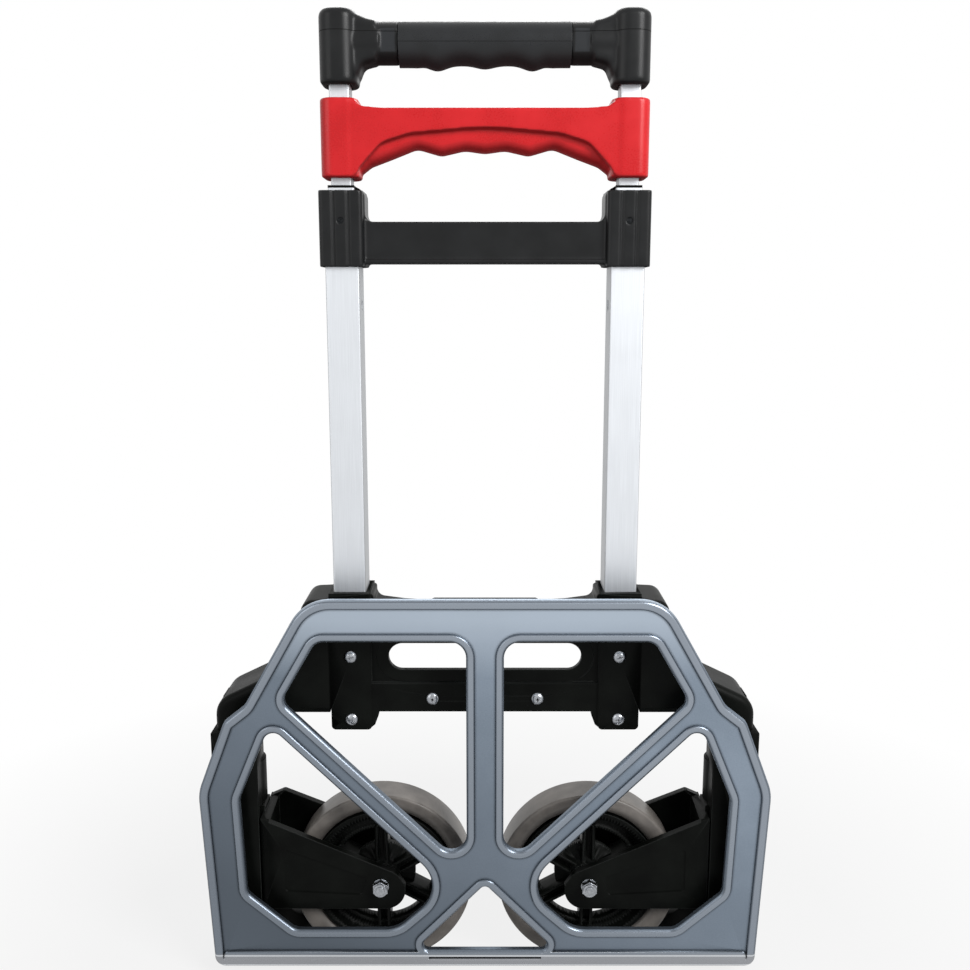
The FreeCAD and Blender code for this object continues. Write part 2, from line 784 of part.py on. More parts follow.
def make_release_handle():
    shell = housing(release_half_width, release_front_y, release_back_y, release_low_z, release_high_z, 8.0)
    shell = shell.makeFillet(1.5, edges_at_z(shell, release_low_z) + edges_at_z(shell, release_high_z))
    inner = tube_x - release_half_width + 2.0
    low = release_low_z
    proud = 0.6
    step = 5.2
    root = tube_x - 3.0
    arch = [
        (root, low + 2.0, 0), (inner, low + 2.0, 0), (inner - 2.5, low + 6.5, 0),
    ]
    arch += [(x, low + rise, radius) for x, rise, radius in palm_arch]
    over = [
        (root, release_high_z - 2.0, 0), (inner, release_high_z - 2.0, 0),
        (inner - 4.0, release_bar_high + 1.0, 6.0), (inner - 18.0, release_bar_high, 0),
    ]
    corners = over + mirror_corners(over) + [(-x, z, r) for x, z, r in arch]
    corners += [(0.0, low + palm_crest, 150.0)] + list(reversed(arch))
    beam = plate(corners, release_front_y + proud, release_back_y - proud)
    grip = plate(finger_corners(), release_front_y + step, release_back_y - step)
    under = [e for e in edges_at_y(grip, release_front_y + step) + edges_at_y(grip, release_back_y - step)
             if e.BoundBox.ZMax < low + 19.5]
    grip = grip.makeFillet(finger_round, under)
    solid = joined([shell, mirrored(shell), beam, grip])
    hole = tube_box(inner_width + 2 * slide_gap, inner_depth + 2 * slide_gap, 0, far)
    solid = solid.cut(hole).cut(mirrored(hole))
    pin = cross_pin()
    return solid.cut(pin).cut(mirrored(pin))


def finger_corners():
    """Waved underside of the red handle, between its two housings."""
    low = release_low_z
    right = [
        (83.0, low + 3.0, 0), (79.0, low + 3.5, 0), (73.5, low + 7.7, 0), (59.6, low + 12.8, 20.0),
        (43.7, low + 19.0, 9.0), (28.2, low + 14.6, 8.0), (13.0, low + 18.0, 14.0),
    ]
    span = palm_arch[0][0]
    top = [(-span, low + fingers_high, 0), (span, low + fingers_high, 0), (83.0, low + 20.0, 0)]
    return right + [(0.0, low + 16.2, 14.0)] + mirror_corners(right) + [(-83.0, low + 20.0, 0)] + top


def cross_pin():
    reach = inner_depth / 2 + 4.0
    return rod_y(tube_y - reach, tube_y + reach, tube_x, release_pin_z, release_pin_r)


def make_release_cross_pins():
    return Part.makeCompound([cross_pin(), mirrored(cross_pin())])


def make_release_rod():
    """Rod in the inner tube, from the cross pin down to just above the lock plug."""
    rod = rod_z(inner_low_z + plug_long + 0.5, release_coil_low_z, tube_x, tube_y, release_rod_r)
    return rod.cut(cross_pin())


def make_release_springs():
    wire_r = 0.7
    coil_r = 3.2
    low = release_coil_low_z + wire_r + 0.1
    high = spigot_low_z - wire_r - 0.1
    turns = 6
    pitch = (high - low) / turns
    helix = Part.makeHelix(pitch, pitch * turns, coil_r)
    section = Part.Wire(Part.makeCircle(wire_r, Vector(coil_r, 0, 0), Vector(0, 1, 0)))
    coil = Part.Wire(helix.Edges).makePipeShell([section], True, True)
    coil.translate(Vector(tube_x, tube_y, low))
    return Part.makeCompound([coil, mirrored(coil)])


def make_top_handle():
    block = housing(top_half_width, top_front_y, top_back_y, top_low_z, top_high_z, 10.0)
    block = block.makeFillet(5.0, edges_at_z(block, top_high_z))
    block = block.makeFillet(2.5, edges_at_z(block, top_low_z))
    bar = rod_x(-tube_x + 5, tube_x - 5, tube_y, grip_z, grip_r - 0.3)
    facet = box(grip_half, facet_end_x, -far, tube_y - grip_r + facet_deep, 0, far)
    inner = tube_x - top_half_width
    root = inner + 8.0
    neck = inner - 12.0
    gusset = [
        (root, top_high_z - 2.0, 0), (inner + 1.5, top_high_z - 2.4, 8.0), (inner - 6.5, top_high_z - 5.6, 8.0),
        (neck, grip_z + grip_r - 1.0, 0), (neck, grip_z - grip_r + 1.0, 0),
        (inner - 3.4, top_low_z + 12.0, 5.0), (inner, top_low_z + 3.5, 4.0), (root, top_low_z + 3.5, 0),
    ]
    web = plate(gusset, tube_y - gusset_half, tube_y + gusset_half)
    rims = [e for e in edges_at_y(web, tube_y - gusset_half) + edges_at_y(web, tube_y + gusset_half)
            if e.BoundBox.XMin > neck + near and e.BoundBox.XMax < root - near]
    web = web.makeFillet(gusset_round, rims)
    solid = joined([block, mirrored(block), bar, web, mirrored(web)])
    solid = solid.cut(facet).cut(mirrored(facet))
    socket = tube_box(inner_width + 2 * seat_gap, inner_depth + 2 * seat_gap, top_low_z - past, inner_high_z)
    bore_width = inner_width - 2 * inner_wall - 2 * seat_gap
    bore_depth = inner_depth - 2 * inner_wall - 2 * seat_gap
    socket = socket.cut(tube_box(bore_width, bore_depth, spigot_low_z, inner_high_z))
    screw = rod_y(tube_y, back_y, tube_x, handle_screw_z, screw_r)
    for cut in (socket, screw):
        solid = solid.cut(cut).cut(mirrored(cut))
    neck = rod_x(-grip_half, grip_half, tube_y, grip_z, grip_r + 1.0)
    return solid.cut(neck.cut(rod_x(-grip_half, grip_half, tube_y, grip_z, grip_r - grip_wall - seat_gap)))


def make_handle_grip():
    """Sleeve over the bar: round above, waved for the fingers below."""
    solids = [rod_x(-grip_half + seat_gap, grip_half - seat_gap, tube_y, grip_z, grip_r)]
    for side in (-1, 1):
        low_x = min(side * 37.0, side * (grip_half - seat_gap))
        high_x = max(side * 37.0, side * (grip_half - seat_gap))
        solids.append(rod_x(low_x, high_x, tube_y, grip_z - grip_end_drop, grip_r - 0.1))
    for x, drop in fingers:
        solids.append(Part.makeSphere(finger_r, Vector(x, tube_y, grip_z - drop)))
    sleeve = joined(solids)
    return sleeve.cut(rod_x(-grip_half - past, grip_half + past, tube_y, grip_z, grip_r - grip_wall))


# ---------------------------------------------------------------- upper crossbar

def make_collar():
    half = outer_width / 2 + collar_wall
    front = tube_y - outer_depth / 2 - collar_front_wall
    back = tube_y + outer_depth / 2 + collar_front_wall
    solid = rounded_box(tube_x - half, tube_x + half, front, back, collar_low_z, collar_high_z, collar_round)
    step = 2 * half / flute_count
    for k in range(1, flute_count):
        x = tube_x - half + k * step
        for y in (front, back):
            solid = solid.cut(rod_z(collar_low_z - past, collar_high_z + past, x, y, flute_deep))
    inner = tube_x - half + 1.0
    cheek = plate([
        (inner, collar_low_z, 0), (inner, collar_high_z, 0), (cheek_x, collar_high_z, 3.5),
        (cheek_x, collar_low_z, 0),
    ], front + cheek_inset, back - cheek_inset)
    return solid.fuse(cheek)


def make_upper_crossbar():
    collar = make_collar()
    inner = cheek_x + 1.0
    corners = [
        (inner, beam_low_z, 0), (inner, beam_high_z + 6, 0), (inner - 1.0, beam_high_z + 6, 0),
        (inner - 1.0, beam_high_z, 5.0), (-inner + 1.0, beam_high_z, 5.0), (-inner + 1.0, beam_high_z + 6, 0),
        (-inner, beam_high_z + 6, 0), (-inner, beam_low_z, 0),
    ]
    beam = plate(corners, beam_front_y, beam_back_y)
    lip = box(-inner, inner, beam_front_y - beam_lip, beam_back_y, beam_low_z, beam_low_z + 2 * beam_lip)
    solid = joined([collar, mirrored(collar), beam, lip])
    trough = box(-inner + 14, inner - 14, beam_front_y + shell_wall, beam_back_y + past,
                 beam_low_z + shell_wall, beam_high_z - shell_wall)
    solid = solid.cut(trough)
    fit = 2 * seat_gap
    hole = tube_box(outer_width + fit, outer_depth + fit, collar_low_z - past, outer_high_z + 0.1)
    mouth_gap = 4 * slide_gap
    mouth = tube_box(middle_width + mouth_gap, middle_depth + mouth_gap, outer_high_z - past, far)
    screw = rod_y(-far, tube_y, tube_x, collar_screw_z, screw_r)
    for cut in (hole, mouth, screw):
        solid = solid.cut(cut).cut(mirrored(cut))
    return solid


def make_collar_screws():
    front = tube_y - outer_depth / 2 - collar_front_wall
    screw = rod_y(front + 0.8, tube_y - outer_depth / 2 + outer_wall, tube_x, collar_screw_z, screw_r)
    return Part.makeCompound([screw, mirrored(screw)])


# ---------------------------------------------------------------- lower frame

def arch_x(share):
    return shoulder_x - share * (shoulder_x - arch_in_x)


def frame_outline(low_z):
    socket_in = tube_x - outer_width / 2 - socket_wall - 2.0
    right = [
        (shoulder_x, leg_top_z, 0), (shoulder_x, arch_high[0], 16.0),
        (arch_x(arch_share[0]), arch_high[1], 12.0), (arch_x(arch_share[1]), arch_high[2], 10.0),
        (arch_x(arch_share[2]), shoulder_high_z, 9.0),
        (socket_in, shoulder_high_z + 2.0, 2.0), (socket_in, bar_high_z + 3.8, 6.0),
        (57.0, bar_high_z + 1.1, 8.0), (bar_crest_half + 3.0, bar_high_z, 0), (bar_crest_half, bar_crest_z, 0),
    ]
    foot = [(leg_in_x, low_z, 6.0), (leg_in_x, leg_top_z, 0)]
    return right + mirror_corners(right) + mirror_corners(foot) + foot


def rounded_plate(x0, x1, z0, z1, radius, y0, y1):
    return plate([(x0, z0, radius), (x1, z0, radius), (x1, z1, radius), (x0, z1, radius)], y0, y1)


def hand_slot(grow, y0, y1):
    radius = (hand_slot_high - hand_slot_low) / 2 + grow - 0.01
    return rounded_plate(-hand_slot_half - grow, hand_slot_half + grow, hand_slot_low - grow,
                         hand_slot_high + grow, radius, y0, y1)


def hand_opening(y0, y1):
    return rounded_plate(-hand_back_half, hand_back_half, hand_back_low, hand_back_high, 6.0, y0, y1)


def make_socket():
    half = outer_width / 2 + socket_wall
    front = tube_y - outer_depth / 2 - socket_front_wall
    body = plate([
        (tube_x + half, socket_low_z, 3.0), (tube_x + half, socket_high_z, 0),
        (tube_x - half, socket_high_z, 0), (tube_x - half, socket_low_z, 3.0),
    ], front, back_y)
    inner = tube_x - half
    lug = plate([
        (inner + 1.0, socket_low_z + 0.5, 0), (inner + 1.0, socket_lug_z[1], 0),
        (inner - 4.5, socket_lug_z[1], 0), (inner - 4.5, socket_lug_z[0], 0),
        (inner - 2.0, socket_low_z + 3.0, 0),
    ], front + 2, back_y - 12.0)
    return body.fuse(lug)


def make_bar():
    """Cross member: front wall with the hand slot, its rim and the thicker foot band."""
    outline = plate(frame_outline(bar_low_z), bar_front_y, back_y - cover_thick)
    foot = box(-tube_x, tube_x, bar_front_y - bar_foot_proud, bar_front_y + past, bar_low_z, bar_foot_z)
    high_edge = [e for e in edges_at_z(foot, bar_foot_z) if abs(e.CenterOfMass.y - foot.BoundBox.YMin) < 0.01]
    foot = foot.makeFillet(1.5, high_edge)
    rim = hand_slot(hand_rim, bar_front_y - hand_rim_proud, bar_front_y + past)
    rim = rim.makeFillet(0.7, edges_at_y(rim, bar_front_y - hand_rim_proud))
    return outline.fuse(foot).fuse(rim)


def make_arch():
    """The arch part of the outline, which reaches further to the front than the cross member."""
    arch = plate(frame_outline(arch_low_z), shoulder_front_y, back_y - cover_thick)
    arch = arch.common(box(arch_in_x, far, -far, far, 0, far))
    shoulder_edges = [e for e in edges_at_y(arch, shoulder_front_y)
                      if e.BoundBox.XMin > arch_in_x + near and e.BoundBox.ZMin > leg_top_z + near]
    arch = arch.makeFillet(arch_round, shoulder_edges)
    top = shoulder_high_z - shell_wall
    floor = arch_low_z + shell_wall
    inner = arch_in_x + 4.0
    rib_low, rib_high = arch_rib
    tenon_in = hinge_x - tenon_width / 2 - shell_wall
    high_pocket = plate([
        (inner, rib_high, 2.0), (inner, top, 2.0), (arch_x(arch_share[2] + 0.05), top, 4.0),
        (arch_x(arch_share[1] + 0.05), arch_high[2] - 1.0, 4.0), (arch_x(0.675), rib_high, 2.0),
    ], shoulder_front_y + shell_wall, back_y)
    low_pocket = plate([
        (inner, floor, 2.0), (inner, rib_low, 2.0), (arch_x(0.65), rib_low, 2.0),
        (arch_x(arch_share[0] + 0.04), arch_high[1] - shell_wall, 4.0), (tenon_in, arch_high[1] - 7.2, 2.0),
        (tenon_in, floor, 2.0),
    ], shoulder_front_y + shell_wall, back_y)
    return arch.cut(high_pocket).cut(low_pocket)


def back_pockets():
    """Pockets between the ribs behind the cross member, above and below the hand opening."""
    pockets = []
    front = bar_front_y + shell_wall
    for k in range(-2, 3):
        low_x = (k - 0.5) * bay_width + bay_rib / 2
        high_x = (k + 0.5) * bay_width - bay_rib / 2
        pockets.append(box(low_x, high_x, front, back_y, hand_back_high + 3, bar_high_z - shell_wall))
        if abs(k) != 1:
            pockets.append(box(low_x, high_x, front, back_y, bar_low_z + shell_wall, hand_back_low - 3))
    return pockets


def make_lower_frame():
    back = back_y - cover_thick
    arch = make_arch()
    socket = make_socket()
    bar = make_bar().common(box(-tube_x, tube_x, -far, far, 0, far))
    solid = joined([bar, arch, mirrored(arch), socket, mirrored(socket)])
    fit = 2 * seat_gap
    half_width = tenon_width / 2 + seat_gap
    half_depth = tenon_depth / 2 + seat_gap
    cuts = [
        tube_box(outer_width + fit, outer_depth + fit, outer_low_z, far),
        box(hinge_x - half_width, hinge_x + half_width, wheel_y - half_depth, wheel_y + half_depth,
            leg_top_z - past, leg_top_z + tenon_long + 0.5),
        rod_y(-far, far, crossbar_screw_x, crossbar_screw_z, screw_r),
    ]
    for z in socket_screw_z:
        cuts.append(rod_y(-far, tube_y, tube_x, z, screw_r))
    for z in leg_screw_z:
        cuts.append(rod_y(wheel_y, back_y + past, hinge_x, z, screw_r))
        cuts.append(rod_y(back - screw_head_high, back_y + past, hinge_x, z, screw_head_r))
    for cut in cuts:
        solid = solid.cut(cut).cut(mirrored(cut))
    solid = solid.cut(hand_slot(0, front_y, back)).cut(hand_opening(bar_front_y + shell_wall, back_y))
    for pocket in back_pockets():
        solid = solid.cut(pocket)
    return solid


def make_frame_back_cover():
    half = tube_x - outer_width / 2 - socket_wall - seat_gap
    cover = rounded_plate(-half, half, bar_low_z + cover_inset, bar_high_z - cover_inset, 2.0,
                          back_y - cover_thick, back_y)
    cover = cover.cut(hand_opening(-far, far))
    for x in (-crossbar_screw_x, crossbar_screw_x):
        cover = cover.cut(rod_y(-far, far, x, crossbar_screw_z, screw_r))
    return cover


def pan_screw(x, z, seat_y, tip_y):
    head = rod_y(seat_y - screw_head_high, seat_y, x, z, screw_head_r)
    head = head.makeFillet(1.2, edges_at_y(head, seat_y - screw_head_high))
    shank = rod_y(seat_y - 0.5, tip_y, x, z, screw_r)
    floor = seat_y - screw_head_high + screw_recess
    cross = box(x - screw_arm, x + screw_arm, -far, floor, z - screw_slot_half, z + screw_slot_half)
    cross = cross.fuse(box(x - screw_slot_half, x + screw_slot_half, -far, floor, z - screw_arm, z + screw_arm))
    return joined([head, shank]).cut(cross)


def make_socket_screws():
    seat = tube_y - outer_depth / 2 - socket_front_wall
    tip = tube_y - outer_depth / 2 + outer_wall
    return Part.makeCompound([pan_screw(x, z, seat, tip) for x in (-tube_x, tube_x) for z in socket_screw_z])


def make_crossbar_screws():
    seat = bar_front_y - bar_foot_proud
    return Part.makeCompound([
        pan_screw(x, crossbar_screw_z, seat, back_y - 0.3) for x in (-crossbar_screw_x, crossbar_screw_x)
    ])


def make_leg_screws():
    seat = back_y - cover_thick
    screws = []
    for side in (-1, 1):
        x = side * hinge_x
        for z in leg_screw_z:
            head = rod_y(seat - screw_head_high, seat, x, z, screw_head_r - 0.2)
            shank = rod_y(wheel_y - 3.5, seat - screw_head_high + 0.5, x, z, screw_r)
            screws.append(head.fuse(shank))
    return Part.makeCompound(screws)


def make_handle_screws():
    shanks = [rod_y(tube_y + 3.0, top_back_y - 1.0, x, handle_screw_z, screw_r) for x in (-tube_x, tube_x)]
    return Part.makeCompound(shanks)


# ---------------------------------------------------------------- write the nodes

def save(name, shape):
    shape.exportStep("parts/" + name + ".step")


def save_pair(name, shape):
    save("right_" + name, shape)
    save("left_" + name, mirrored(shape))


os.makedirs("parts", exist_ok=True)

save("toe_plate", make_toe_plate())
save("lower_frame", make_lower_frame())
save("frame_back_cover", make_frame_back_cover())
save("upper_crossbar", make_upper_crossbar())
save("collar_screws", make_collar_screws())
save("socket_screws", make_socket_screws())
save("crossbar_screws", make_crossbar_screws())
save("leg_screws", make_leg_screws())
save("top_handle", make_top_handle())
save("handle_grip", make_handle_grip())
save("handle_screws", make_handle_screws())
save("release_handle", make_release_handle())
save("release_cross_pins", make_release_cross_pins())
save("release_springs", make_release_springs())

save_pair("leg", make_leg())
save_pair("toe_pin", make_toe_pin())
save_pair("fork_pin", make_fork_pin())
save_pair("fork_spring", make_fork_spring())
save_pair("fork", make_fork())
save_pair("axle_bolt", make_axle_bolt())
save_pair("axle_nut", make_axle_nut())
save_pair("axle_washers", make_axle_washers())
save_pair("tyre", make_tyre())
save_pair("hub", make_hub())
save_pair("wheel_bush", make_wheel_bush())
save_pair("outer_tube", make_outer_tube())
save_pair("tube_bush", make_tube_bush())
save_pair("middle_tube", make_middle_tube())
save_pair("tube_cap", make_tube_cap())
save_pair("middle_plug", make_middle_plug())
save_pair("middle_lock_pin", make_middle_lock_pin())
save_pair("inner_tube", make_inner_tube())
save_pair("inner_plug", make_inner_plug())
save_pair("inner_lock_pin", make_inner_lock_pin())
save_pair("release_rod", make_release_rod())
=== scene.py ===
import json
import math
from functools import partial

import bmesh
import bpy
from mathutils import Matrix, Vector


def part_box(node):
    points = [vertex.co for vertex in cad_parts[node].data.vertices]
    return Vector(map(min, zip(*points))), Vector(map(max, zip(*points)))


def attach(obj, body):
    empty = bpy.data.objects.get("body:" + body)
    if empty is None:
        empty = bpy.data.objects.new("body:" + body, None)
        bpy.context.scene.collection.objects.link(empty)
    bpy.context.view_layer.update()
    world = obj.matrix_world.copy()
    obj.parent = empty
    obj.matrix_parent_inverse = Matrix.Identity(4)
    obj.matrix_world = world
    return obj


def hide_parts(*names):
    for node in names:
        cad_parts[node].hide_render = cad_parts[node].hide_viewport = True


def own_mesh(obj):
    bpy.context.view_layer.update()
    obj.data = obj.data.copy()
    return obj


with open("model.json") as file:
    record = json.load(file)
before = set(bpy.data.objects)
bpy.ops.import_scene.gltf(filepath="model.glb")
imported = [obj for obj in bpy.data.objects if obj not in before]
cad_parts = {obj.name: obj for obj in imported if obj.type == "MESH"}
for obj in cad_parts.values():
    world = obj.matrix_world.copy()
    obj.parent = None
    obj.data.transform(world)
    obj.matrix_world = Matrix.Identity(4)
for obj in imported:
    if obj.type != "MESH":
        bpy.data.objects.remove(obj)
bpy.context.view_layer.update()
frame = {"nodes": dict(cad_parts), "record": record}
nodes = frame["nodes"]
bodyOf = {name: body for body, names in frame["record"]["behaviour"]["bodies"].items() for name in names}
slotOf = {name: shape.data.materials[0].name for name, shape in nodes.items()}
mm = 0.001
noiseSpan = (0.3, 0.7)  # nearly all of a noise lies between these
patchSpan = (0.35, 0.65)  # a little inside them, for patches with firmer bounds
noiseGrades = {  # detail and roughness of a noise
    "soft": (3.0, 0.5), "cloudy": (3.0, 0.55), "streaky": (3.0, 0.6), "grainy": (4.0, 0.6),
    "speckled": (5.0, 0.7)}
print("frame loaded:", len(nodes), "CAD nodes")


def linear(hexColour):  # an sRGB hex colour as linear light
    channels = [int(hexColour[k:k + 2], 16) / 255 for k in (1, 3, 5)]
    return [c / 12.92 if c <= 0.04045 else ((c + 0.055) / 1.055) ** 2.4 for c in channels] + [1.0]


# One node: its settings, then what goes into its sockets, in their order or by name.
def add(tree, kind, *values, named=None, **settings):
    made = tree.nodes.new(kind)
    for setting, value in settings.items():
        setattr(made, setting, value)
    shown = [socket for socket in made.inputs if socket.enabled]
    byName = [(made.inputs[name], value) for name, value in (named or {}).items()]
    for socket, value in [*zip(shown, values), *byName]:
        if isinstance(value, bpy.types.Node):
            value = next(out for out in value.outputs if out.enabled)
        if isinstance(value, bpy.types.NodeSocket):
            tree.links.new(value, socket)
        else:
            socket.default_value = value
    return made


def newMaterial(name):  # an empty material, what adds its nodes, and the object's own coordinates
    material = bpy.data.materials.new(name)
    material.use_nodes = True
    material.node_tree.nodes.clear()
    node = partial(add, material.node_tree)
    return material, node, node("ShaderNodeTexCoord").outputs["Object"]


def finished(material, node, skin):  # the surface shader, fed by name
    node("ShaderNodeOutputMaterial", node("ShaderNodeBsdfPrincipled", named=skin))
    return material


def softEdge(node, look):  # the small round of a moulded or cast edge, and how far it turns the face
    edge = node("ShaderNodeBevel", look["edge"], samples=4)
    flat = node("ShaderNodeNewGeometry").outputs["Normal"]
    return edge, node("ShaderNodeVectorMath", edge, flat, operation="DOT_PRODUCT")


def facing(node):  # which way a face looks, along the object's own axes
    return node("ShaderNodeSeparateXYZ", node("ShaderNodeTexCoord").outputs["Normal"]).outputs


# Grain, pits and drawn lines are finer on the real surfaces. Each "grain" and "line" below is drawn
# several times as coarse as it is, which is what it takes to show.

def castAluminium():  # blasted grey web that scatters light, beads with painted highlights on crests and edges, painted shade on their flanks and as a dark line at their foot, and painted shade greying the lower left
    look = {
        "web": "#909CAA", "webDark": "#7B8794", "paintedShade": "#5C646D", "paintedTopLight": "#BAC5D1", "lip": "#A5A5A7",
        "crest": "#939BA5", "flank": "#646B74", "glint": "#E4E8EC", "line": "#24282D", "under": "#3B3E48",
        "grain": 0.8 * mm, "pit": 0.05 * mm, "pitShare": 0.5, "cloud": 45 * mm, "speckleShare": 0.55,
        "edge": 0.5 * mm, "webRough": (0.54, 0.46), "beadPolish": 0.22,
        "beadY": (-30.6 * mm, -31.3 * mm), "crestTurn": (-0.8, -0.97),  # from the web up onto a bead's crest
        "lean": 0.75, "paintedShadeAt": (250 * mm, -60 * mm), "crestShadeShare": 0.5,  # painted shade: greyer down and to the left
        "paintedTopLightZ": (222 * mm, 262 * mm), "paintedTopLightShare": 0.65,  # painted highlight: the top band drawn paler
        "lipZ": (22 * mm, 20 * mm), "lipShare": 0.65,  # the lip along the floor
        "lipEdges": (20.2 * mm, 13.2 * mm), "lipEdgeHalf": 0.5 * mm,  # painted highlights along its two edges
        "lipEdgeY": (-30.0 * mm, -30.4 * mm), "lipEdgeShare": 0.7,
        "shadedUnderZ": (12.0 * mm, 11.2 * mm), "shadedUnderShare": 0.85,  # painted shade: the underside drawn dark
        "glintTurn": (0.99, 0.86), "glintShare": 0.8,  # painted highlight where an edge of a bead turns
        "footShadeReach": 1.8 * mm, "footShadeOpen": (0.5, 1.0), "footShadeShare": 0.95,  # painted shade: the dark line at a bead's foot, from ambient occlusion
    }
    material, node, place = newMaterial("aluminium_die_cast_blasted")
    axes = node("ShaderNodeSeparateXYZ", place).outputs
    bead = node("ShaderNodeMapRange", axes["Y"], *look["beadY"], 0.0, 1.0)
    speckle = node("ShaderNodeTexNoise", place, 1 / look["grain"], *noiseGrades["speckled"])
    cloud = node("ShaderNodeTexNoise", place, 1 / look["cloud"], *noiseGrades["cloudy"])
    pitted = node("ShaderNodeMapRange", speckle, *noiseSpan, 0.0, look["speckleShare"])
    cloudy = node("ShaderNodeMapRange", cloud, *patchSpan, 0.0, 1 - look["speckleShare"])
    tone = node("ShaderNodeMath", pitted, cloudy, operation="ADD")
    # Painted shade: the web is drawn greyer down and to the left.
    leaning = node("ShaderNodeMath", axes["X"], look["lean"], axes["Z"], operation="MULTIPLY_ADD")
    paintedShade = node("ShaderNodeMapRange", leaning, *look["paintedShadeAt"], 0.0, 1.0)
    # Painted highlight: a paler band across the top of the plate.
    paintedTopLight = node("ShaderNodeMapRange", axes["Z"], *look["paintedTopLightZ"], 0.0, look["paintedTopLightShare"])
    web = linear(look["webDark"])
    for mask, coat in ((tone, "web"), (paintedShade, "paintedShade"), (paintedTopLight, "paintedTopLight")):
        web = node("ShaderNodeMix", mask, web, linear(look[coat]), data_type="RGBA")

    # Painted shade: the bead crests also grey down and to the left.
    paintedLight = node("ShaderNodeMath", paintedShade, look["crestShadeShare"], operation="MULTIPLY")
    crest = node("ShaderNodeMix", paintedLight, linear(look["crest"]), linear(look["paintedShade"]), data_type="RGBA")
    # Painted shade: bead flanks turned away from the front are drawn darker than the crest.
    onTop = node("ShaderNodeMapRange", facing(node)["Y"], *look["crestTurn"], 0.0, 1.0)
    crest = node("ShaderNodeMix", onTop, linear(look["flank"]), crest, data_type="RGBA")
    colour = node("ShaderNodeMix", bead, web, crest, data_type="RGBA")

    coats = [(node("ShaderNodeMapRange", axes["Z"], *look["lipZ"], 0.0, look["lipShare"]), "lip")]
    # Painted highlights: two bright lines along the lip's edges.
    outside = node("ShaderNodeMapRange", axes["Y"], *look["lipEdgeY"], 0.0, look["lipEdgeShare"])
    for level in look["lipEdges"]:
        ridge = node("ShaderNodeMath", axes["Z"], level, look["lipEdgeHalf"], operation="COMPARE")
        coats.append((node("ShaderNodeMath", ridge, outside, operation="MULTIPLY"), "glint"))
    # Painted shade: the underside below the lip is drawn dark.
    coats.append((node("ShaderNodeMapRange", axes["Z"], *look["shadedUnderZ"], 0.0, look["shadedUnderShare"]), "under"))
    # Painted shade: ambient occlusion draws a dark line where a bead meets the web.
    footShade = node("ShaderNodeAmbientOcclusion", named={"Distance": look["footShadeReach"]}, samples=6).outputs["AO"]
    coats.append((node("ShaderNodeMapRange", footShade, *look["footShadeOpen"], look["footShadeShare"], 0.0), "line"))
    # Painted highlight: bright lines where a bead's rounded edge turns.
    edge, turn = softEdge(node, look)
    bright = node("ShaderNodeMapRange", turn, *look["glintTurn"], 0.0, look["glintShare"])
    coats.append((node("ShaderNodeMath", bead, bright, operation="MULTIPLY"), "glint"))
    for mask, coat in coats:
        colour = node("ShaderNodeMix", mask, colour, linear(look[coat]), data_type="RGBA")

    blasted = node("ShaderNodeMapRange", speckle, *noiseSpan, *look["webRough"])
    polish = node("ShaderNodeMath", bead, look["beadPolish"], operation="MULTIPLY")
    rough = node("ShaderNodeMath", blasted, polish, operation="SUBTRACT")
    pits = node("ShaderNodeBump", look["pitShare"], look["pit"], named={"Height": speckle, "Normal": edge})
    return finished(material, node, {"Base Color": colour, "Metallic": 1.0, "Roughness": rough,
                                     "Normal": pits})


def tubeAluminium():  # satin anodised extrusion: pale even front, sides drawn greyer as painted shade, hairlines along the tube
    look = {"light": "#D8DBDF", "dark": "#D0D3D7", "side": "#A9ABAD", "shadedSideTurn": (0.35, 0.85),
            "shadedSideShare": 0.9, "line": 0.5 * mm, "lineDeep": 0.01 * mm, "lineShare": 0.2,
            "drawn": (1.0, 1.0, 0.012),  # draws the lines out along the tube
            "cloud": 30 * mm, "lineRough": (0.46, 0.52), "cloudRough": 0.06}
    material, node, place = newMaterial("aluminium_extruded_satin_anodised")
    drawn = node("ShaderNodeMapping", place, named={"Scale": look["drawn"]})
    lines = node("ShaderNodeTexNoise", drawn, 1 / look["line"], *noiseGrades["streaky"])
    cloud = node("ShaderNodeTexNoise", place, 1 / look["cloud"], *noiseGrades["cloudy"])
    streak = node("ShaderNodeMapRange", lines, *patchSpan, 0.0, 1.0)
    colour = node("ShaderNodeMix", streak, linear(look["dark"]), linear(look["light"]), data_type="RGBA")
    # Painted shade: faces turned sideways are drawn greyer.
    sideways = node("ShaderNodeMath", facing(node)["X"], operation="ABSOLUTE")
    sideways = node("ShaderNodeMapRange", sideways, *look["shadedSideTurn"], 0.0, look["shadedSideShare"])
    colour = node("ShaderNodeMix", sideways, colour, linear(look["side"]), data_type="RGBA")
    rough = node("ShaderNodeMath", node("ShaderNodeMapRange", lines, *noiseSpan, *look["lineRough"]),
                 node("ShaderNodeMapRange", cloud, *noiseSpan, 0.0, look["cloudRough"]), operation="ADD")
    hairlines = node("ShaderNodeBump", look["lineShare"], look["lineDeep"], named={"Height": lines})
    return finished(material, node, {"Base Color": colour, "Metallic": 1.0, "Roughness": rough,
                                     "Normal": hairlines})


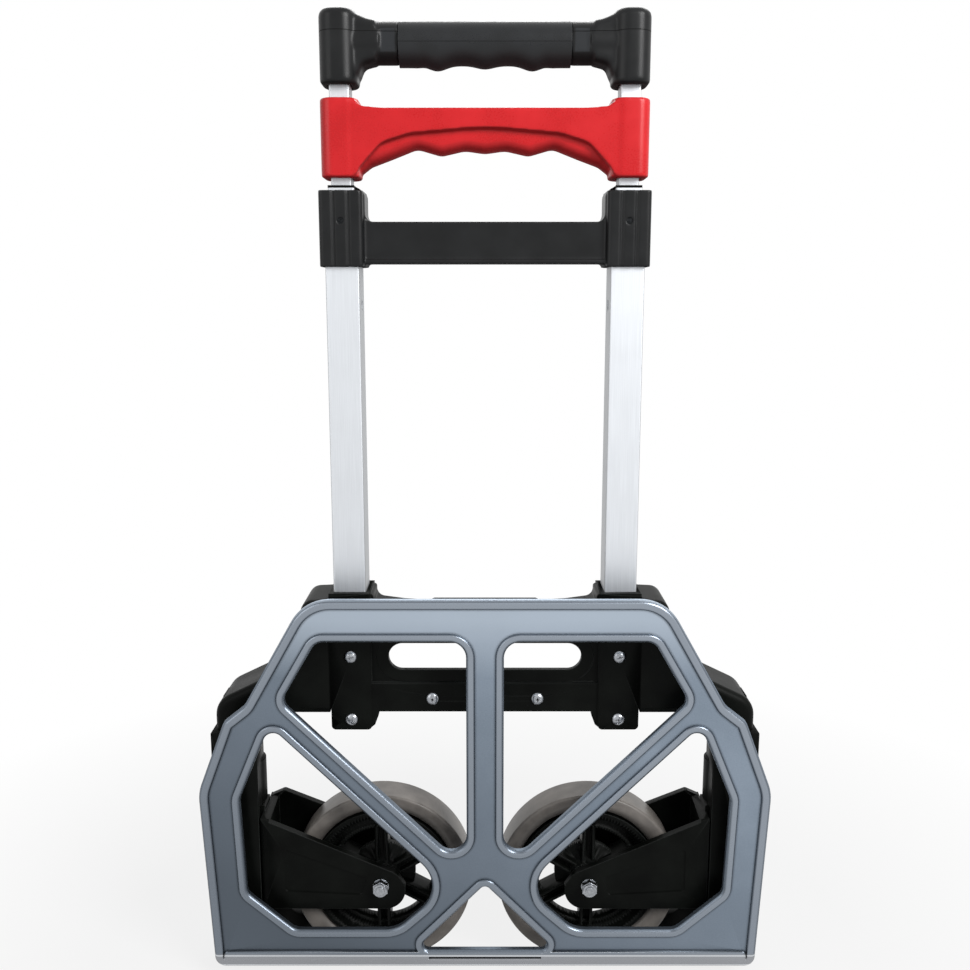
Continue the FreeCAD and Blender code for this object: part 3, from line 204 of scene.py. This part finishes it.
def mouldedSkin(node, place, look):  # flow marks, grain, edges drawn pale as painted highlights, duller underneath and darker there as painted shade
    wear = {"flowSpan": (0.35, 0.7), "edgeGlintTurn": (0.997, 0.88), "underTurn": (-0.2, -0.75),
            "underShade": 0.45, "underDull": 0.6, "grainRough": 0.05, "flowRough": (-0.03, 0.06)}
    fine = node("ShaderNodeTexNoise", place, 1 / look["grain"], *noiseGrades["grainy"])
    flow = node("ShaderNodeTexNoise", place, 1 / look["flow"], *noiseGrades["soft"])
    marks = node("ShaderNodeMapRange", flow, *wear["flowSpan"], 0.0, 1.0)
    edge, turn = softEdge(node, look)
    # Painted highlight: edges where the rounded normal turns from the flat face are drawn pale.
    edgeGlint = node("ShaderNodeMapRange", turn, *wear["edgeGlintTurn"], 0.0, look["edgeGlint"])
    # Painted shade: faces turned downward are drawn darker.
    under = node("ShaderNodeMapRange", facing(node)["Z"], *wear["underTurn"], 0.0, 1.0)
    shade = node("ShaderNodeMath", under, wear["underShade"], operation="MULTIPLY")
    colour = linear(look["dark"])
    for mask, coat in ((marks, look["light"]), (edgeGlint, look["paintedLight"]), (shade, "#000000")):
        colour = node("ShaderNodeMix", mask, colour, linear(coat), data_type="RGBA")
    rough = node("ShaderNodeMapRange", fine, *noiseSpan, look["rough"] - wear["grainRough"],
                 look["rough"] + wear["grainRough"])
    uneven = node("ShaderNodeMapRange", flow, *noiseSpan, *wear["flowRough"])
    dull = node("ShaderNodeMath", under, wear["underDull"], operation="MULTIPLY")
    for more in (uneven, dull):
        rough = node("ShaderNodeMath", rough, more, operation="ADD", use_clamp=True)
    grain = node("ShaderNodeBump", look["bump"], look["depth"], named={"Height": fine, "Normal": edge})
    return {"Base Color": colour, "Roughness": rough, "Specular IOR Level": look["shine"], "Normal": grain}


def moulding(name, look):  # one plain plastic
    material, node, place = newMaterial(name)
    return finished(material, node, mouldedSkin(node, place, look))


def partingLine(node, place, look, skin):  # the fine dark line where the mould halves met
    height = node("ShaderNodeSeparateXYZ", place).outputs["Z"]
    line = node("ShaderNodeMath", height, look["lineZ"], look["lineHalf"], operation="COMPARE")
    tone = linear(look["lineTone"])
    skin["Base Color"] = node("ShaderNodeMix", line, skin["Base Color"], tone, data_type="RGBA")
    dull = node("ShaderNodeMath", line, look["lineDull"], operation="MULTIPLY")
    skin["Roughness"] = node("ShaderNodeMath", skin["Roughness"], dull, operation="ADD", use_clamp=True)


def blackMoulding():  # glass-filled nylon out of a lightly eroded mould: low sheen, pin-fine grain
    return moulding("nylon_black_injection_moulded", {
        "dark": "#060706", "light": "#0F110F", "grain": 0.6 * mm, "flow": 22 * mm, "rough": 0.4,
        "depth": 0.04 * mm, "bump": 0.4, "edge": 0.9 * mm, "shine": 0.06, "edgeGlint": 0.8, "paintedLight": "#343635"})


def handleBlack():  # the same nylon from a smoother mould, greyer where it faces the light
    look = {"dark": "#121314", "light": "#1A1B1C", "grain": 0.6 * mm, "flow": 22 * mm, "rough": 0.34,
            "depth": 0.03 * mm, "bump": 0.35, "edge": 0.9 * mm, "shine": 0.22, "edgeGlint": 0.12,
            "paintedLight": "#4A4D4F",
            "lineZ": 634 * mm, "lineHalf": 0.22 * mm, "lineTone": "#060606", "lineDull": 0.6,
            "patch": "#2B2D30", "patchShare": 0.8,  # the flats beside the sleeve: middle and half width
            "patchX": (61 * mm, 4.5 * mm), "patchZ": (629 * mm, 7 * mm)}
    material, node, place = newMaterial("nylon_black_satin_moulded")
    skin = mouldedSkin(node, place, look)
    axes = node("ShaderNodeSeparateXYZ", place).outputs
    away = node("ShaderNodeMath", axes["X"], operation="ABSOLUTE")
    across = node("ShaderNodeMath", away, *look["patchX"], operation="COMPARE")
    upright = node("ShaderNodeMath", axes["Z"], *look["patchZ"], operation="COMPARE")
    patch = node("ShaderNodeMath", across, upright, operation="MULTIPLY")
    patch = node("ShaderNodeMath", patch, look["patchShare"], operation="MULTIPLY")
    plain = skin["Base Color"]
    skin["Base Color"] = node("ShaderNodeMix", patch, plain, linear(look["patch"]), data_type="RGBA")
    partingLine(node, place, look, skin)
    return finished(material, node, skin)


def gripBlack():  # softer over-moulded sleeve with a satin blue-black shine
    look = {"dark": "#141618", "light": "#1C1E21", "grain": 0.7 * mm, "flow": 18 * mm, "rough": 0.28,
            "depth": 0.03 * mm, "bump": 0.3, "edge": 0.5 * mm, "shine": 0.36, "edgeGlint": 0.3,
            "paintedLight": "#4A4D51",
            "lineZ": 627.6 * mm, "lineHalf": 0.2 * mm, "lineTone": "#060607", "lineDull": 0.6}
    material, node, place = newMaterial("elastomer_black_overmoulded")
    skin = mouldedSkin(node, place, look)
    partingLine(node, place, look, skin)
    return finished(material, node, skin)


def redMoulding():  # coloured polypropylene with a waxy gloss and faint flow marks
    return moulding("polypropylene_red_injection_moulded", {
        "dark": "#C8141A", "light": "#D61F25", "grain": 1.1 * mm, "flow": 26 * mm, "rough": 0.28,
        "depth": 0.02 * mm, "bump": 0.2, "edge": 0.8 * mm, "shine": 0.34, "edgeGlint": 0.08, "paintedLight": "#EE5A5C"})


def tyreRubber():  # taupe thermoplastic rubber, dull, with rolled-in dust
    return moulding("rubber_taupe_moulded", {
        "dark": "#625E5A", "light": "#7B7671", "grain": 0.8 * mm, "flow": 14 * mm, "rough": 0.34,
        "depth": 0.05 * mm, "bump": 0.4, "edge": 0.5 * mm, "shine": 0.3, "edgeGlint": 0.2, "paintedLight": "#9A948E"})


def nylonNatural():  # natural acetal guides and bushes: pale ivory, a little waxy
    return moulding("acetal_natural_moulded", {
        "dark": "#CFCBBE", "light": "#E2DFD4", "grain": 0.6 * mm, "flow": 12 * mm, "rough": 0.4,
        "depth": 0.03 * mm, "bump": 0.3, "edge": 0.3 * mm, "shine": 0.5, "edgeGlint": 0.2, "paintedLight": "#F0EEE6"})


def platedSteel(name, look):  # crystal bloom in tone and gloss, and a fine tooth
    wear = {"edge": 0.3 * mm, "tooth": 0.02 * mm, "toothShare": 0.3, "bloomRough": (-0.06, 0.08)}
    material, node, place = newMaterial(name)
    bloom = node("ShaderNodeTexNoise", place, 1 / look["bloom"], *noiseGrades["grainy"])
    fine = node("ShaderNodeTexNoise", place, 1 / look["grain"], *noiseGrades["cloudy"])
    cloudy = node("ShaderNodeMapRange", bloom, *patchSpan, 0.0, 1.0)
    colour = node("ShaderNodeMix", cloudy, linear(look["dark"]), linear(look["light"]), data_type="RGBA")
    gloss, haze = [look["rough"] + more for more in wear["bloomRough"]]
    rough = node("ShaderNodeMapRange", bloom, *noiseSpan, gloss, haze)
    edge = node("ShaderNodeBevel", wear["edge"], samples=4)
    tooth = node("ShaderNodeBump", wear["toothShare"], wear["tooth"], named={"Height": fine, "Normal": edge})
    return finished(material, node, {"Base Color": colour, "Metallic": 1.0, "Roughness": rough,
                                     "Normal": tooth})


def zincSteel():  # bright zinc plate with a faint blue cast
    return platedSteel("steel_bright_zinc_plated", {
        "dark": "#8F9297", "light": "#ABAEB2", "bloom": 1.4 * mm, "grain": 0.2 * mm, "rough": 0.22})


def blackedSteel():  # blackened screws in the collars, near black with a dull gleam
    return platedSteel("steel_black_oxide", {
        "dark": "#1B1C1D", "light": "#2E3032", "bloom": 1.4 * mm, "grain": 0.2 * mm, "rough": 0.3})


def pinSteel():  # drawn and ground pin stock: even grey with a clean gleam
    return platedSteel("steel_drawn_ground", {
        "dark": "#9A9C9E", "light": "#B8BABC", "bloom": 2.5 * mm, "grain": 0.15 * mm, "rough": 0.28})


def springSteel():  # oil-tempered wire, grey with a brown cast
    return platedSteel("steel_spring_oil_tempered", {
        "dark": "#8C8780", "light": "#B5B0AA", "bloom": 1.8 * mm, "grain": 0.15 * mm, "rough": 0.28})


finishes = {
    "plate_aluminium": castAluminium(), "tube_aluminium": tubeAluminium(),
    "black_moulding": blackMoulding(), "grip_black": gripBlack(), "red_moulding": redMoulding(),
    "tyre_rubber": tyreRubber(), "nylon": nylonNatural(),
    "zinc_steel": zincSteel(), "pin_steel": pinSteel(), "spring_steel": springSteel(),
}
satinBlack = handleBlack()
ownFinish = {"top_handle": satinBlack, "upper_crossbar": satinBlack, "collar_screws": blackedSteel()}
for name, shape in nodes.items():
    shape.data.materials.clear()
    shape.data.materials.append(ownFinish.get(name, finishes[slotOf[name]]))
print("materials:", len(bpy.data.materials))


def placed(name, mesh, *stoodFor):  # a piece that stands for CAD nodes, and rides where they ride
    piece = bpy.data.objects.new(name, mesh)
    bpy.context.scene.collection.objects.link(piece)
    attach(piece, bodyOf[stoodFor[0]])
    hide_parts(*stoodFor)
    return piece


def heldMesh(name, mesh):  # a passing object for modifiers to work on
    holder = bpy.data.objects.new(name, mesh)
    bpy.context.scene.collection.objects.link(holder)
    return holder


def settled(holder):  # the evaluated mesh, once its modifiers have done their work
    graph = bpy.context.evaluated_depsgraph_get()
    done = holder.evaluated_get(graph)
    mesh = bpy.data.meshes.new_from_object(done, preserve_all_data_layers=True, depsgraph=graph)
    seed = holder.data
    bpy.data.objects.remove(holder)
    bpy.data.meshes.remove(seed)
    return mesh


def mergedCopy(name):  # a CAD node's loose triangles, joined
    weld = 0.005 * mm
    mesh = nodes[name].data.copy()
    work = bmesh.new()
    work.from_mesh(mesh)
    bmesh.ops.remove_doubles(work, verts=work.verts, dist=weld)
    work.to_mesh(mesh)
    work.free()
    return mesh


def softened(name, look):  # a moulding as the mould leaves it: remeshed finely, its corners relaxed
    holder = heldMesh(name + "_soft", mergedCopy(name))
    skin = holder.modifiers.new("skin", "REMESH")
    skin.mode = "VOXEL"
    skin.voxel_size = look["voxel"]
    skin.use_smooth_shade = True
    relax = holder.modifiers.new("relax", "SMOOTH")
    relax.factor = look["factor"]
    relax.iterations = look["relax"]
    mesh = settled(holder)
    mesh.materials.clear()
    mesh.materials.append(nodes[name].data.materials[0])
    return placed(name + "_moulding", mesh, name)


def smoothed(name, sharpAngle):  # the CAD surface with its round faces shaded round
    mesh = mergedCopy(name)
    mesh.shade_smooth()
    mesh.set_sharp_from_angle(angle=math.radians(sharpAngle))
    holder = heldMesh(name + "_even", mesh)
    even = holder.modifiers.new("even", "WEIGHTED_NORMAL")  # keeps flat faces flat beside a round
    even.keep_sharp = True
    return placed(name + "_finish", settled(holder), name)


def newTree(name, sizes):  # geometry nodes with a named input for each size
    tree = bpy.data.node_groups.new(name, "GeometryNodeTree")
    tree.interface.new_socket("Geometry", in_out="INPUT", socket_type="NodeSocketGeometry")
    for label in sizes:
        tree.interface.new_socket(label, in_out="INPUT", socket_type="NodeSocketFloat")
    tree.interface.new_socket("Geometry", in_out="OUTPUT", socket_type="NodeSocketGeometry")
    node = partial(add, tree)
    return tree, node, node("NodeGroupInput").outputs


def finishTree(node, geometry, material):  # real geometry, all in one material
    real = node("GeometryNodeRealizeInstances", geometry)
    node("NodeGroupOutput", node("GeometryNodeSetMaterial", real, named={"Material": material}))


def grown(name, tree, sizes, points, *stoodFor):  # what a tree makes at its points, as a plain mesh
    seed = bpy.data.meshes.new(name + "_points")
    seed.from_pydata(points, [], [])
    holder = heldMesh(name + "_seed", seed)
    modifier = holder.modifiers.new("grow", "NODES")
    modifier.node_group = tree
    for item in tree.interface.items_tree:
        if item.in_out == "INPUT" and item.name in sizes:
            modifier[item.identifier] = sizes[item.name]
    return placed(name, settled(holder), *stoodFor)


def screwTree(material):  # domed head with a cross recess, one at each point
    tree, node, given = newTree("pan_head_screws", [
        "Head radius", "Head height", "Recess arm", "Recess half", "Recess depth", "Turn seed"])
    around, upward = 40, 20
    quarter = (math.radians(90), 0.0, 0.0)
    ball = node("GeometryNodeMeshUVSphere", around, upward, given["Head radius"])
    flat = node("ShaderNodeMath", given["Head height"], given["Head radius"], operation="DIVIDE")
    flat = node("ShaderNodeCombineXYZ", 1.0, 1.0, flat)
    head = node("GeometryNodeTransform", ball, named={"Scale": flat})

    wide = node("ShaderNodeMath", given["Head radius"], 3.0, operation="MULTIPLY")
    skirt = node("GeometryNodeMeshCube", node("ShaderNodeCombineXYZ", wide, wide, wide))
    sunk = node("ShaderNodeMath", wide, -0.5, operation="MULTIPLY")
    sunk = node("ShaderNodeCombineXYZ", 0.0, 0.0, sunk)
    cutters = [node("GeometryNodeTransform", skirt, named={"Translation": sunk})]
    long, thin, deep = [node("ShaderNodeMath", given[label], 2.0, operation="MULTIPLY")
                        for label in ("Recess arm", "Recess half", "Recess depth")]
    lift = node("ShaderNodeCombineXYZ", 0.0, 0.0, given["Head height"])
    for across, along in ((long, thin), (thin, long)):
        bar = node("GeometryNodeMeshCube", node("ShaderNodeCombineXYZ", across, along, deep))
        cutters.append(node("GeometryNodeTransform", bar, named={"Translation": lift}))
    for cutter in cutters:
        head = node("GeometryNodeMeshBoolean", head, cutter, operation="DIFFERENCE")

    turn = node("FunctionNodeRandomValue", 0.0, math.pi / 2, named={"Seed": given["Turn seed"]},
                data_type="FLOAT")
    turn = node("FunctionNodeEulerToRotation", node("ShaderNodeCombineXYZ", 0.0, 0.0, turn))
    stand = node("FunctionNodeEulerToRotation", quarter)
    aimed = node("FunctionNodeRotateRotation", turn, stand, rotation_space="GLOBAL")
    spread = node("GeometryNodeInstanceOnPoints", given["Geometry"],
                  named={"Instance": head, "Rotation": aimed})
    finishTree(node, spread, material)
    return tree


def makeScrews():
    look = {"Head radius": 4.6 * mm, "Head height": 2.6 * mm, "Recess arm": 2.5 * mm,
            "Recess half": 0.45 * mm, "Recess depth": 1.2 * mm, "Turn seed": 4.0}
    seatDeep = 2.2 * mm  # from the node's front to the face that the heads sit on
    tree = screwTree(finishes["zinc_steel"])
    edge = look["Head radius"]
    for name in ("socket_screws", "crossbar_screws"):
        low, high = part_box(name)
        levels = sorted({round(low[2] + edge, 5), round(high[2] - edge, 5)})
        points = [(x, low[1] + seatDeep, z) for x in (low[0] + edge, high[0] - edge) for z in levels]
        grown(name + "_pan_heads", tree, look, points, name)


def tyreTree(material):  # a section with a round crown, carried once about the axle
    tree, node, given = newTree("tyre_section", [
        "Outer radius", "Wall", "Width", "Crown round", "Seat round"])
    around, cornerSteps = 128, 10
    quarter = (math.radians(90), 0.0, 0.0)
    section = node("GeometryNodeCurvePrimitiveQuadrilateral", given["Wall"], given["Width"], mode="RECTANGLE")
    across = node("ShaderNodeSeparateXYZ", node("GeometryNodeInputPosition")).outputs["X"]
    outside = node("ShaderNodeMath", across, 0.0, operation="LESS_THAN")
    gain = node("ShaderNodeMath", given["Crown round"], given["Seat round"], operation="SUBTRACT")
    bend = node("ShaderNodeMath", outside, gain, given["Seat round"], operation="MULTIPLY_ADD")
    section = node("GeometryNodeFilletCurve", section, cornerSteps, bend, True, mode="POLY")
    middle = node("ShaderNodeMath", given["Wall"], -0.5, given["Outer radius"], operation="MULTIPLY_ADD")
    path = node("GeometryNodeCurvePrimitiveCircle", named={"Resolution": around, "Radius": middle})
    ring = node("GeometryNodeCurveToMesh", path, section)
    ring = node("GeometryNodeTransform", ring, named={"Rotation": quarter})
    ring = node("GeometryNodeSetShadeSmooth", ring)
    spread = node("GeometryNodeInstanceOnPoints", given["Geometry"], named={"Instance": ring})
    finishTree(node, spread, material)
    return tree


def makeTyres():
    look = {"Outer radius": 63.5 * mm, "Wall": 13.5 * mm, "Width": 25 * mm, "Crown round": 9.5 * mm,
            "Seat round": 2.0 * mm}
    tree = tyreTree(finishes["tyre_rubber"])
    for side in ("left", "right"):
        low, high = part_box(side + "_tyre")
        centre = [(low[k] + high[k]) / 2 for k in range(3)]
        grown(side + "_tyre_moulding", tree, look, [centre], side + "_tyre")


def gripTree(material):  # round sleeve whose underside waves for the fingers
    tree, node, given = newTree("finger_grip", [
        "Half length", "Radius", "Finger spacing", "Outer drop", "Middle drop", "Finger width", "End drop",
        "End from", "End to"])
    along, around = 120, 72
    back = node("ShaderNodeMath", given["Half length"], -1.0, operation="MULTIPLY")
    path = node("GeometryNodeCurvePrimitiveLine", node("ShaderNodeCombineXYZ", back),
                node("ShaderNodeCombineXYZ", given["Half length"]))
    path = node("GeometryNodeResampleCurve", path, named={"Count": along})
    ring = node("GeometryNodeCurvePrimitiveCircle", named={"Resolution": around, "Radius": given["Radius"]})
    sleeve = node("GeometryNodeCurveToMesh", path, ring, named={"Fill Caps": True})
    axes = node("ShaderNodeSeparateXYZ", node("GeometryNodeInputPosition")).outputs
    away = node("ShaderNodeMath", axes["X"], operation="ABSOLUTE")

    def swell(distance, height):  # one ridge between two fingers
        share = node("ShaderNodeMath", distance, given["Finger width"], operation="DIVIDE")
        square = node("ShaderNodeMath", share, share, operation="MULTIPLY")
        fall = node("ShaderNodeMath", square, -1.0, operation="MULTIPLY")
        fall = node("ShaderNodeMath", fall, operation="EXPONENT")
        return node("ShaderNodeMath", fall, height, operation="MULTIPLY")

    aside = node("ShaderNodeMath", away, given["Finger spacing"], operation="SUBTRACT")
    outer = swell(aside, given["Outer drop"])
    middle = swell(away, given["Middle drop"])
    near, far = [node("ShaderNodeMath", given["Finger spacing"], given[label], operation="ADD")
                 for label in ("End from", "End to")]
    end = node("ShaderNodeMapRange", away, near, far, 0.0, given["End drop"],
               interpolation_type="SMOOTHSTEP")
    drop = node("ShaderNodeMath", outer, middle, operation="ADD")
    drop = node("ShaderNodeMath", drop, end, operation="ADD")
    under = node("ShaderNodeMath", axes["Z"], given["Radius"], operation="DIVIDE")
    under = node("ShaderNodeMath", under, -1.0, operation="MULTIPLY")
    under = node("ShaderNodeMath", under, 0.0, operation="MAXIMUM")
    shift = node("ShaderNodeMath", drop, under, operation="MULTIPLY")
    shift = node("ShaderNodeMath", shift, -1.0, operation="MULTIPLY")
    shift = node("ShaderNodeCombineXYZ", 0.0, 0.0, shift)
    sleeve = node("GeometryNodeSetPosition", sleeve, named={"Offset": shift})
    sleeve = node("GeometryNodeSetShadeSmooth", sleeve)
    spread = node("GeometryNodeInstanceOnPoints", given["Geometry"], named={"Instance": sleeve})
    finishTree(node, spread, material)
    return tree


def makeGrip():
    look = {"Half length": 54.4 * mm, "Finger spacing": 30.2 * mm, "Outer drop": 3.2 * mm,
            "Middle drop": 2.0 * mm, "Finger width": 7.5 * mm, "End drop": 1.2 * mm, "End from": 6 * mm,
            "End to": 14 * mm}
    low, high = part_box("handle_grip")
    radius = (high[1] - low[1]) / 2
    centre = (0.0, (low[1] + high[1]) / 2, high[2] - radius)
    tree = gripTree(finishes["grip_black"])
    grown("handle_grip_sleeve", tree, {**look, "Radius": radius}, [centre], "handle_grip")


def springTree(material):  # torsion coil with a short leg below and a long one above
    tree, node, given = newTree("torsion_spring", [
        "Coil radius", "Wire radius", "Turns", "Height", "Low leg", "High leg", "Side"])
    perTurn, around = 40, 12
    radius = given["Coil radius"]
    coil = node("GeometryNodeCurveSpiral", perTurn, given["Turns"], radius, radius, given["Height"])
    coil = node("GeometryNodeTransform", coil, named={"Rotation": (0.0, 0.0, math.radians(-90))})
    wire = node("GeometryNodeCurvePrimitiveCircle",
                named={"Resolution": around, "Radius": given["Wire radius"]})
    coil = node("GeometryNodeCurveToMesh", coil, wire, named={"Fill Caps": True})
    both = node("GeometryNodeJoinGeometry", coil)
    for length, toward, level in ((given["Low leg"], -1.0, 0.0), (given["High leg"], 1.0, given["Height"])):
        edge = node("ShaderNodeMath", radius, toward, operation="MULTIPLY")
        reach = node("ShaderNodeMath", length, given["Side"], operation="MULTIPLY")
        leg = node("GeometryNodeCurvePrimitiveLine", node("ShaderNodeCombineXYZ", 0.0, edge, level),
                   node("ShaderNodeCombineXYZ", reach, edge, level))
        leg = node("GeometryNodeCurveToMesh", leg, wire, named={"Fill Caps": True})
        tree.links.new(leg.outputs["Mesh"], both.inputs["Geometry"])
    joined = node("GeometryNodeSetShadeSmooth", both)
    spread = node("GeometryNodeInstanceOnPoints", given["Geometry"], named={"Instance": joined})
    finishTree(node, spread, material)
    return tree


def makeForkSprings():
    look = {"Coil radius": 7.5 * mm, "Wire radius": 1.1 * mm, "Turns": 3.5, "Low leg": 9 * mm,
            "High leg": 21 * mm}
    tree = springTree(finishes["spring_steel"])
    reach = look["Coil radius"] + look["Wire radius"]
    for side, toward in (("left", 1.0), ("right", -1.0)):
        low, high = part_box(side + "_fork_spring")
        axisX = low[0] + reach if side == "left" else high[0] - reach
        point = (axisX, high[1] - reach, low[2] + look["Wire radius"])
        sizes = {**look, "Side": toward, "Height": high[2] - low[2] - 2 * look["Wire radius"]}
        grown(side + "_fork_spring_coil", tree, sizes, [point], side + "_fork_spring")


makeScrews()
makeTyres()
makeGrip()
makeForkSprings()
print("repeated and swept pieces grown")


def makeMouldings():
    look = {
        "top_handle": {"voxel": 0.9 * mm, "factor": 0.5, "relax": 8},
        "release_handle": {"voxel": 0.9 * mm, "factor": 0.5, "relax": 8},
        "upper_crossbar": {"voxel": 0.7 * mm, "factor": 0.5, "relax": 5},
    }
    for name, sizes in look.items():
        softened(name, sizes)


def makeSmoothParts():
    look = {"sharpAngle": 32}
    for name in ("toe_plate", "left_hub", "right_hub", "lower_frame", "left_leg", "right_leg", "left_fork",
                 "right_fork", "frame_back_cover"):
        smoothed(name, look["sharpAngle"])


def makeReleaseSprings():  # the release springs shaded round, on a mesh of their own
    look = {"sharpAngle": 60, "travel": 8 * mm}
    springs = smoothed("release_springs", look["sharpAngle"])
    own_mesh(springs)


makeMouldings()
makeSmoothParts()
makeReleaseSprings()
print("mouldings finished")


def seenRays(node):  # 1 for what is looked at, straight or in a reflection or through glass
    rays = node("ShaderNodeLightPath").outputs
    seen = node("ShaderNodeMath", rays["Is Camera Ray"], rays["Is Glossy Ray"], operation="MAXIMUM")
    return node("ShaderNodeMath", seen, rays["Is Transmission Ray"], operation="MAXIMUM")


def makeFloor():  # matt paper that fades to white away from the object, and keeps its shadow
    look = {"floor": "#BEBEBE", "floorHalf": 6.0, "fade": (0.28, 0.6), "share": 0.82, "rough": 0.9,
            "shine": 0.2, "tooth": 3 * mm, "toothDeep": 0.05 * mm, "toothShare": 0.2}
    material, node, place = newMaterial("paper_white_matt")
    tooth = node("ShaderNodeTexNoise", place, 1 / look["tooth"], *noiseGrades["cloudy"])
    paper = node("ShaderNodeBsdfPrincipled", named={
        "Base Color": linear(look["floor"]), "Roughness": look["rough"], "Specular IOR Level": look["shine"],
        "Normal": node("ShaderNodeBump", look["toothShare"], look["toothDeep"], named={"Height": tooth})})
    away = node("ShaderNodeVectorMath", place, operation="LENGTH")
    faded = node("ShaderNodeMapRange", away, *look["fade"], look["share"], 1.0)
    share = node("ShaderNodeMath", seenRays(node), faded, operation="MULTIPLY")
    white = node("ShaderNodeEmission", linear("#FFFFFF"), 1.0)
    node("ShaderNodeOutputMaterial", node("ShaderNodeMixShader", share, paper, white))
    half = look["floorHalf"]
    corners = [(-half, -half, 0), (half, -half, 0), (half, half, 0), (-half, half, 0)]
    sheet = bpy.data.meshes.new("studio_floor")
    sheet.from_pydata(corners, [], [(0, 1, 2, 3)])
    floor = bpy.data.objects.new("studio_floor", sheet)
    floor.data.materials.append(material)
    bpy.context.scene.collection.objects.link(floor)


def makeWorld():
    look = {"seen": 1.0, "cast": 0.26}
    world = bpy.data.worlds.new("studio_white")
    world.use_nodes = True
    bpy.context.scene.world = world
    world.node_tree.nodes.clear()
    node = partial(add, world.node_tree)
    strength = node("ShaderNodeMapRange", seenRays(node), 0.0, 1.0, look["cast"], look["seen"])
    node("ShaderNodeOutputWorld", node("ShaderNodeBackground", linear("#FFFFFF"), strength))


def makeLights():
    look = {
        "key_right": {"place": (1.1, -1.2, 1.3), "target": (0, 0, 0.3), "size": (0.8, 0.8), "power": 32},
        "fill_left": {"place": (-1.2, -1.1, 1.0), "target": (0, 0, 0.3), "size": (0.9, 1.2), "power": 5},
        "rim_back": {"place": (0.2, 1.2, 1.6), "target": (0, 0, 0.35), "size": (1.4, 0.6), "power": 12},
    }
    for name, light in look.items():
        lamp = bpy.data.lights.new(name, "AREA")
        lamp.shape = "RECTANGLE"
        lamp.size, lamp.size_y = light["size"]
        lamp.energy = light["power"]
        holder = bpy.data.objects.new(name, lamp)
        holder.location = light["place"]
        aim = Vector(light["target"]) - Vector(light["place"])
        holder.rotation_euler = aim.to_track_quat("-Z", "Y").to_euler()
        bpy.context.scene.collection.objects.link(holder)


def makeCamera():
    look = {"lens": 38.97, "sensor": 36.0, "place": (0.0, -0.692, 0.4705), "pitch": 10.15}
    lens = bpy.data.cameras.new("catalogue_camera")
    lens.lens = look["lens"]
    lens.sensor_width = look["sensor"]
    holder = bpy.data.objects.new("catalogue_camera", lens)
    holder.location = look["place"]
    holder.rotation_euler = (math.radians(90 - look["pitch"]), 0, 0)
    bpy.context.scene.collection.objects.link(holder)
    bpy.context.scene.camera = holder


makeFloor()
makeWorld()
makeLights()
makeCamera()
bpy.context.scene.view_settings.view_transform = "Standard"
print("studio ready")
